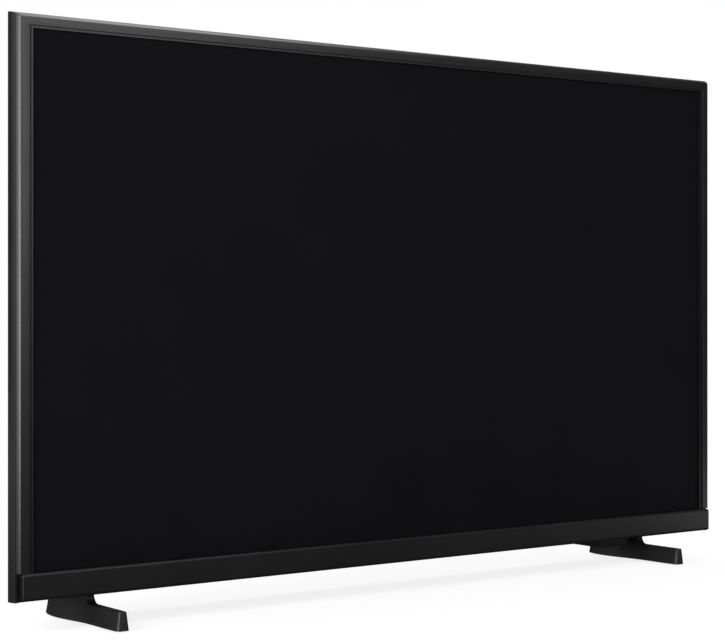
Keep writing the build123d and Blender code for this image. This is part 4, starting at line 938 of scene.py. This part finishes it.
# %% Screw profile
DRIVE_HALF, DRIVE_CORE, DRIVE_WALL = 0.00042, 0.0008, 0.00014
DRIVE_REACH, DRIVE_DEPTH = 0.58, 0.55
DOME_DROP = 0.16
THREAD_PITCH, THREAD_SHARE = 0.0013, 0.76
THREAD_START, TIP_LENGTH, TIP_POINT = 0.0002, 0.0012, 0.0004
# Shares of the head's radius and height where its rim begins to roll over
RIM_FROM, RIM_LOW, RIM_RISE = 0.86, 0.55, 0.32
ROLL_FROM, ROLL_STEPS = 0.25, 5


def screw_rings(head_radius, head_height, shank_radius, length):
    """Radius, height, recess depth and thread share of each ring, from the recess out and down to the tip."""
    reach = DRIVE_REACH * head_radius
    cap = np.array([0.35 * DRIVE_CORE, 0.98 * DRIVE_CORE, 1.25 * DRIVE_CORE, 0.8 * reach, reach, 1.08 * reach,
                    0.72 * head_radius, 0.84 * head_radius])
    dome = head_height * (1.0 - DOME_DROP * (cap / head_radius) ** 2)
    cut = DRIVE_DEPTH * head_height * np.array([1.0, 1.0, 0.97, 0.8, 0.72, 0.0, 0.0, 0.0])
    roll = np.linspace(ROLL_FROM, math.pi / 2, ROLL_STEPS)
    rim = head_radius * (RIM_FROM + (1.0 - RIM_FROM) * np.sin(roll))
    rim_height = head_height * (RIM_LOW + RIM_RISE * np.cos(roll))
    steps = np.arange(0.0, length - TIP_LENGTH, THREAD_PITCH / 4)
    radius = np.concatenate([cap, rim, [head_radius, shank_radius], np.full(len(steps), shank_radius),
                             [0.55 * shank_radius, 0.2 * shank_radius]])
    height = np.concatenate([dome, rim_height, [0.0, 0.0], -THREAD_START - steps,
                             [-length + TIP_POINT, -length]])
    cut = np.concatenate([cut, np.zeros(len(radius) - len(cut))])
    thread = np.concatenate([np.zeros(len(cap) + len(rim) + 2), np.ones(len(steps)), [0.0, 0.0]])
    return radius, height, cut, thread


# %% [markdown]
# ## Maker of screws
# A screw is a grid of rings by columns. Each quarter turn has twelve columns, close together at the walls
# of the recess, and the same surface is set at every seat.

# %% Maker of screws
WIDEST_ARM = 0.6
WIDEST_WALL = math.radians(43.0)
ARM_COLUMNS = 2


def make_screws(name, seats, out, across, head_radius, head_height, shank_radius, length):
    """One screw surface set at every seat, with out along the head's axis."""
    radius, height, cut, thread = screw_rings(head_radius, head_height, shank_radius, length)
    held = np.maximum(radius, DRIVE_CORE)
    half = np.arcsin(np.minimum(DRIVE_HALF / held, WIDEST_ARM))
    wall = np.minimum(half + DRIVE_WALL / held, WIDEST_WALL)
    rest = math.pi / 4 - wall
    fan = np.stack([0 * half, half / 2, half, wall, wall + rest / 3, wall + rest * 2 / 3, wall + rest])
    quarter = np.concatenate([-fan[:0:-1], fan[:-1]])
    angle = (quarter[None] + (np.arange(4) * math.pi / 2)[:, None, None]).reshape(-1, len(radius)).T
    column = np.tile(np.abs(np.arange(1 - len(fan), len(fan) - 1)), 4)
    in_arm = np.where(radius[:, None] <= DRIVE_CORE, 1.0, (column <= ARM_COLUMNS)[None].astype(float))
    tall = height[:, None] - cut[:, None] * in_arm
    wave = np.abs(2.0 * np.mod(height[:, None] / THREAD_PITCH + angle / (2 * math.pi), 1.0) - 1.0)
    wide = radius[:, None] * (1.0 - thread[:, None] * (1.0 - THREAD_SHARE) * wave)
    out, across = np.array(out, float), np.array(across, float)
    along = np.cross(out, across)
    screw = ((wide * np.cos(angle))[..., None] * across + (wide * np.sin(angle))[..., None] * along
             + tall[..., None] * out).reshape(-1, 3)
    points = (np.array(seats)[:, None] + screw[None]).reshape(-1, 3)
    faces = [face for i in range(len(seats))
             for face in tube_faces(len(radius), angle.shape[1], i * len(screw))]
    make_piece(name, points, faces, "screw_steel", name, crease=30.0)


# %% [markdown]
# ## Setting the screws
# Ten screws hold the cover's rim, three up each side and four along the top, and two hold each foot from
# below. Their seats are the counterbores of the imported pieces, and their lengths come from the packed
# screws that they stand for.

# %% Set the screws
COVER_SEAT_X, COVER_SEAT_Y, COVER_SEAT_TOP = 0.4693, -0.0213, 0.5863
SIDE_SPACING, TOP_SPACING = 0.1387, 0.18772
FOOT_SEAT_Z = 0.0120
FOOT_SEATS = ((0.391347, 0.0045), (0.391053, 0.0285))
# Head radius, head height and shank radius
COVER_SCREW = (0.0034, 0.0020, 0.0015)
FOOT_SCREW = (0.0036, 0.0026, 0.0020)

cover_seats = [(x, COVER_SEAT_Y, COVER_SEAT_TOP - step * SIDE_SPACING)
               for x in (-COVER_SEAT_X, COVER_SEAT_X) for step in (3, 2, 1)]
cover_seats += [(step * TOP_SPACING, COVER_SEAT_Y, COVER_SEAT_TOP) for step in (-1.5, -0.5, 0.5, 1.5)]
foot_seats = [(hand * x, y, FOOT_SEAT_Z) for hand in (-1, 1) for x, y in FOOT_SEATS]
cover_length = COVER_SEAT_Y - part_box("cover_screws")[0][1]
foot_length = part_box("foot_screws")[1][2] - FOOT_SEAT_Z
make_screws("cover_screws", cover_seats, (0, 1, 0), (1, 0, 0), *COVER_SCREW, cover_length)
make_screws("foot_screws", foot_seats, (0, 0, -1), (1, 0, 0), *FOOT_SCREW, foot_length)

# %% [markdown]
# ## Maker of contacts
# A contact is a flat gilt strip whose height over the socket's tongue swells and dies away along its
# length, a squared sine, so it can have a soft hump where the plug rubs, and it can slope as a whole.

# %% Maker of contacts
STRIP_STEPS = 11


def make_springs(name, starts, length, rise, slope, width, thickness):
    """Flat strips from each start towards +X: height = rise * sin(pi s)^2 + slope * s, for s from 0 to 1."""
    s = np.linspace(0.0, 1.0, STRIP_STEPS)
    lift = rise * np.sin(math.pi * s) ** 2 + slope * s
    corner = np.array([(-1, -1), (-1, 1), (1, 1), (1, -1)]) * (thickness / 2, width / 2)
    along, deep, high = (length * s)[:, None], lift[:, None] + corner[:, 0], corner[:, 1]
    strip = np.stack(np.broadcast_arrays(along, deep, high), axis=-1).reshape(-1, 3)
    points = (np.array(starts)[:, None] + strip[None]).reshape(-1, 3)
    faces = [face for i in range(len(starts)) for face in tube_faces(len(s), 4, i * len(strip))]
    make_piece(name, points, faces, "boss_brass", crease=50.0)


def socket_middle(label):
    """How far back the middle of a socket lies, and its mouth's place to the right."""
    low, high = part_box(label)
    return (low[1] + high[1]) / 2, high[0]


def contact_heights(lowest, socket_spacing, sockets, spacing, count):
    """Height of every contact: a row spread evenly about the middle of each socket, from the lowest up."""
    middles = lowest + socket_spacing * np.arange(sockets)[:, None]
    return (middles + spacing * (np.arange(count) - (count - 1) / 2)).ravel()


# %% [markdown]
# ## Gilt contacts
# The three picture sockets have contacts on both faces of their tongues, the two data sockets four bent
# contacts on one face, and the network socket eight wires that slope through its mouth.

# %% Gilt contacts
# Lowest socket's height, spacing and count of the sockets, and spacing and count of each one's contacts
HDMI_ROWS = (0.215, 0.019, 3, 0.001, 10)
USB_ROWS = (0.177, 0.018, 2, 0.0021, 4)
NETWORK_ROWS = (0.157, 0.0, 1, 0.00102, 8)
# How far inside the mouth a contact starts, and how far off the socket's middle it lies
HDMI_INSET, HDMI_OFF = 0.0108, 0.00066
USB_INSET, USB_OFF = 0.0118, -0.00096
NETWORK_INSET, NETWORK_OFF = 0.0118, -0.0040
# Length, rise, slope, width and thickness
HDMI_STRIP = (0.0094, 0.0, 0.0, 0.0005, 0.00014)
USB_STRIP = (0.0102, -0.0004, 0.0, 0.0011, 0.00014)
NETWORK_STRIP = (0.0098, 0.0, 0.0042, 0.0004, 0.0003)

middle, mouth = socket_middle("hdmi_sockets")
starts = [(mouth - HDMI_INSET, middle + face * HDMI_OFF, z)
          for face in (-1, 1) for z in contact_heights(*HDMI_ROWS)]
make_springs("hdmi_contacts", starts, *HDMI_STRIP)
middle, mouth = socket_middle("usb_sockets")
starts = [(mouth - USB_INSET, middle + USB_OFF, z) for z in contact_heights(*USB_ROWS)]
make_springs("usb_contacts", starts, *USB_STRIP)
middle, mouth = socket_middle("lan_socket")
starts = [(mouth - NETWORK_INSET, middle + NETWORK_OFF, z) for z in contact_heights(*NETWORK_ROWS)]
make_springs("network_contacts", starts, *NETWORK_STRIP)
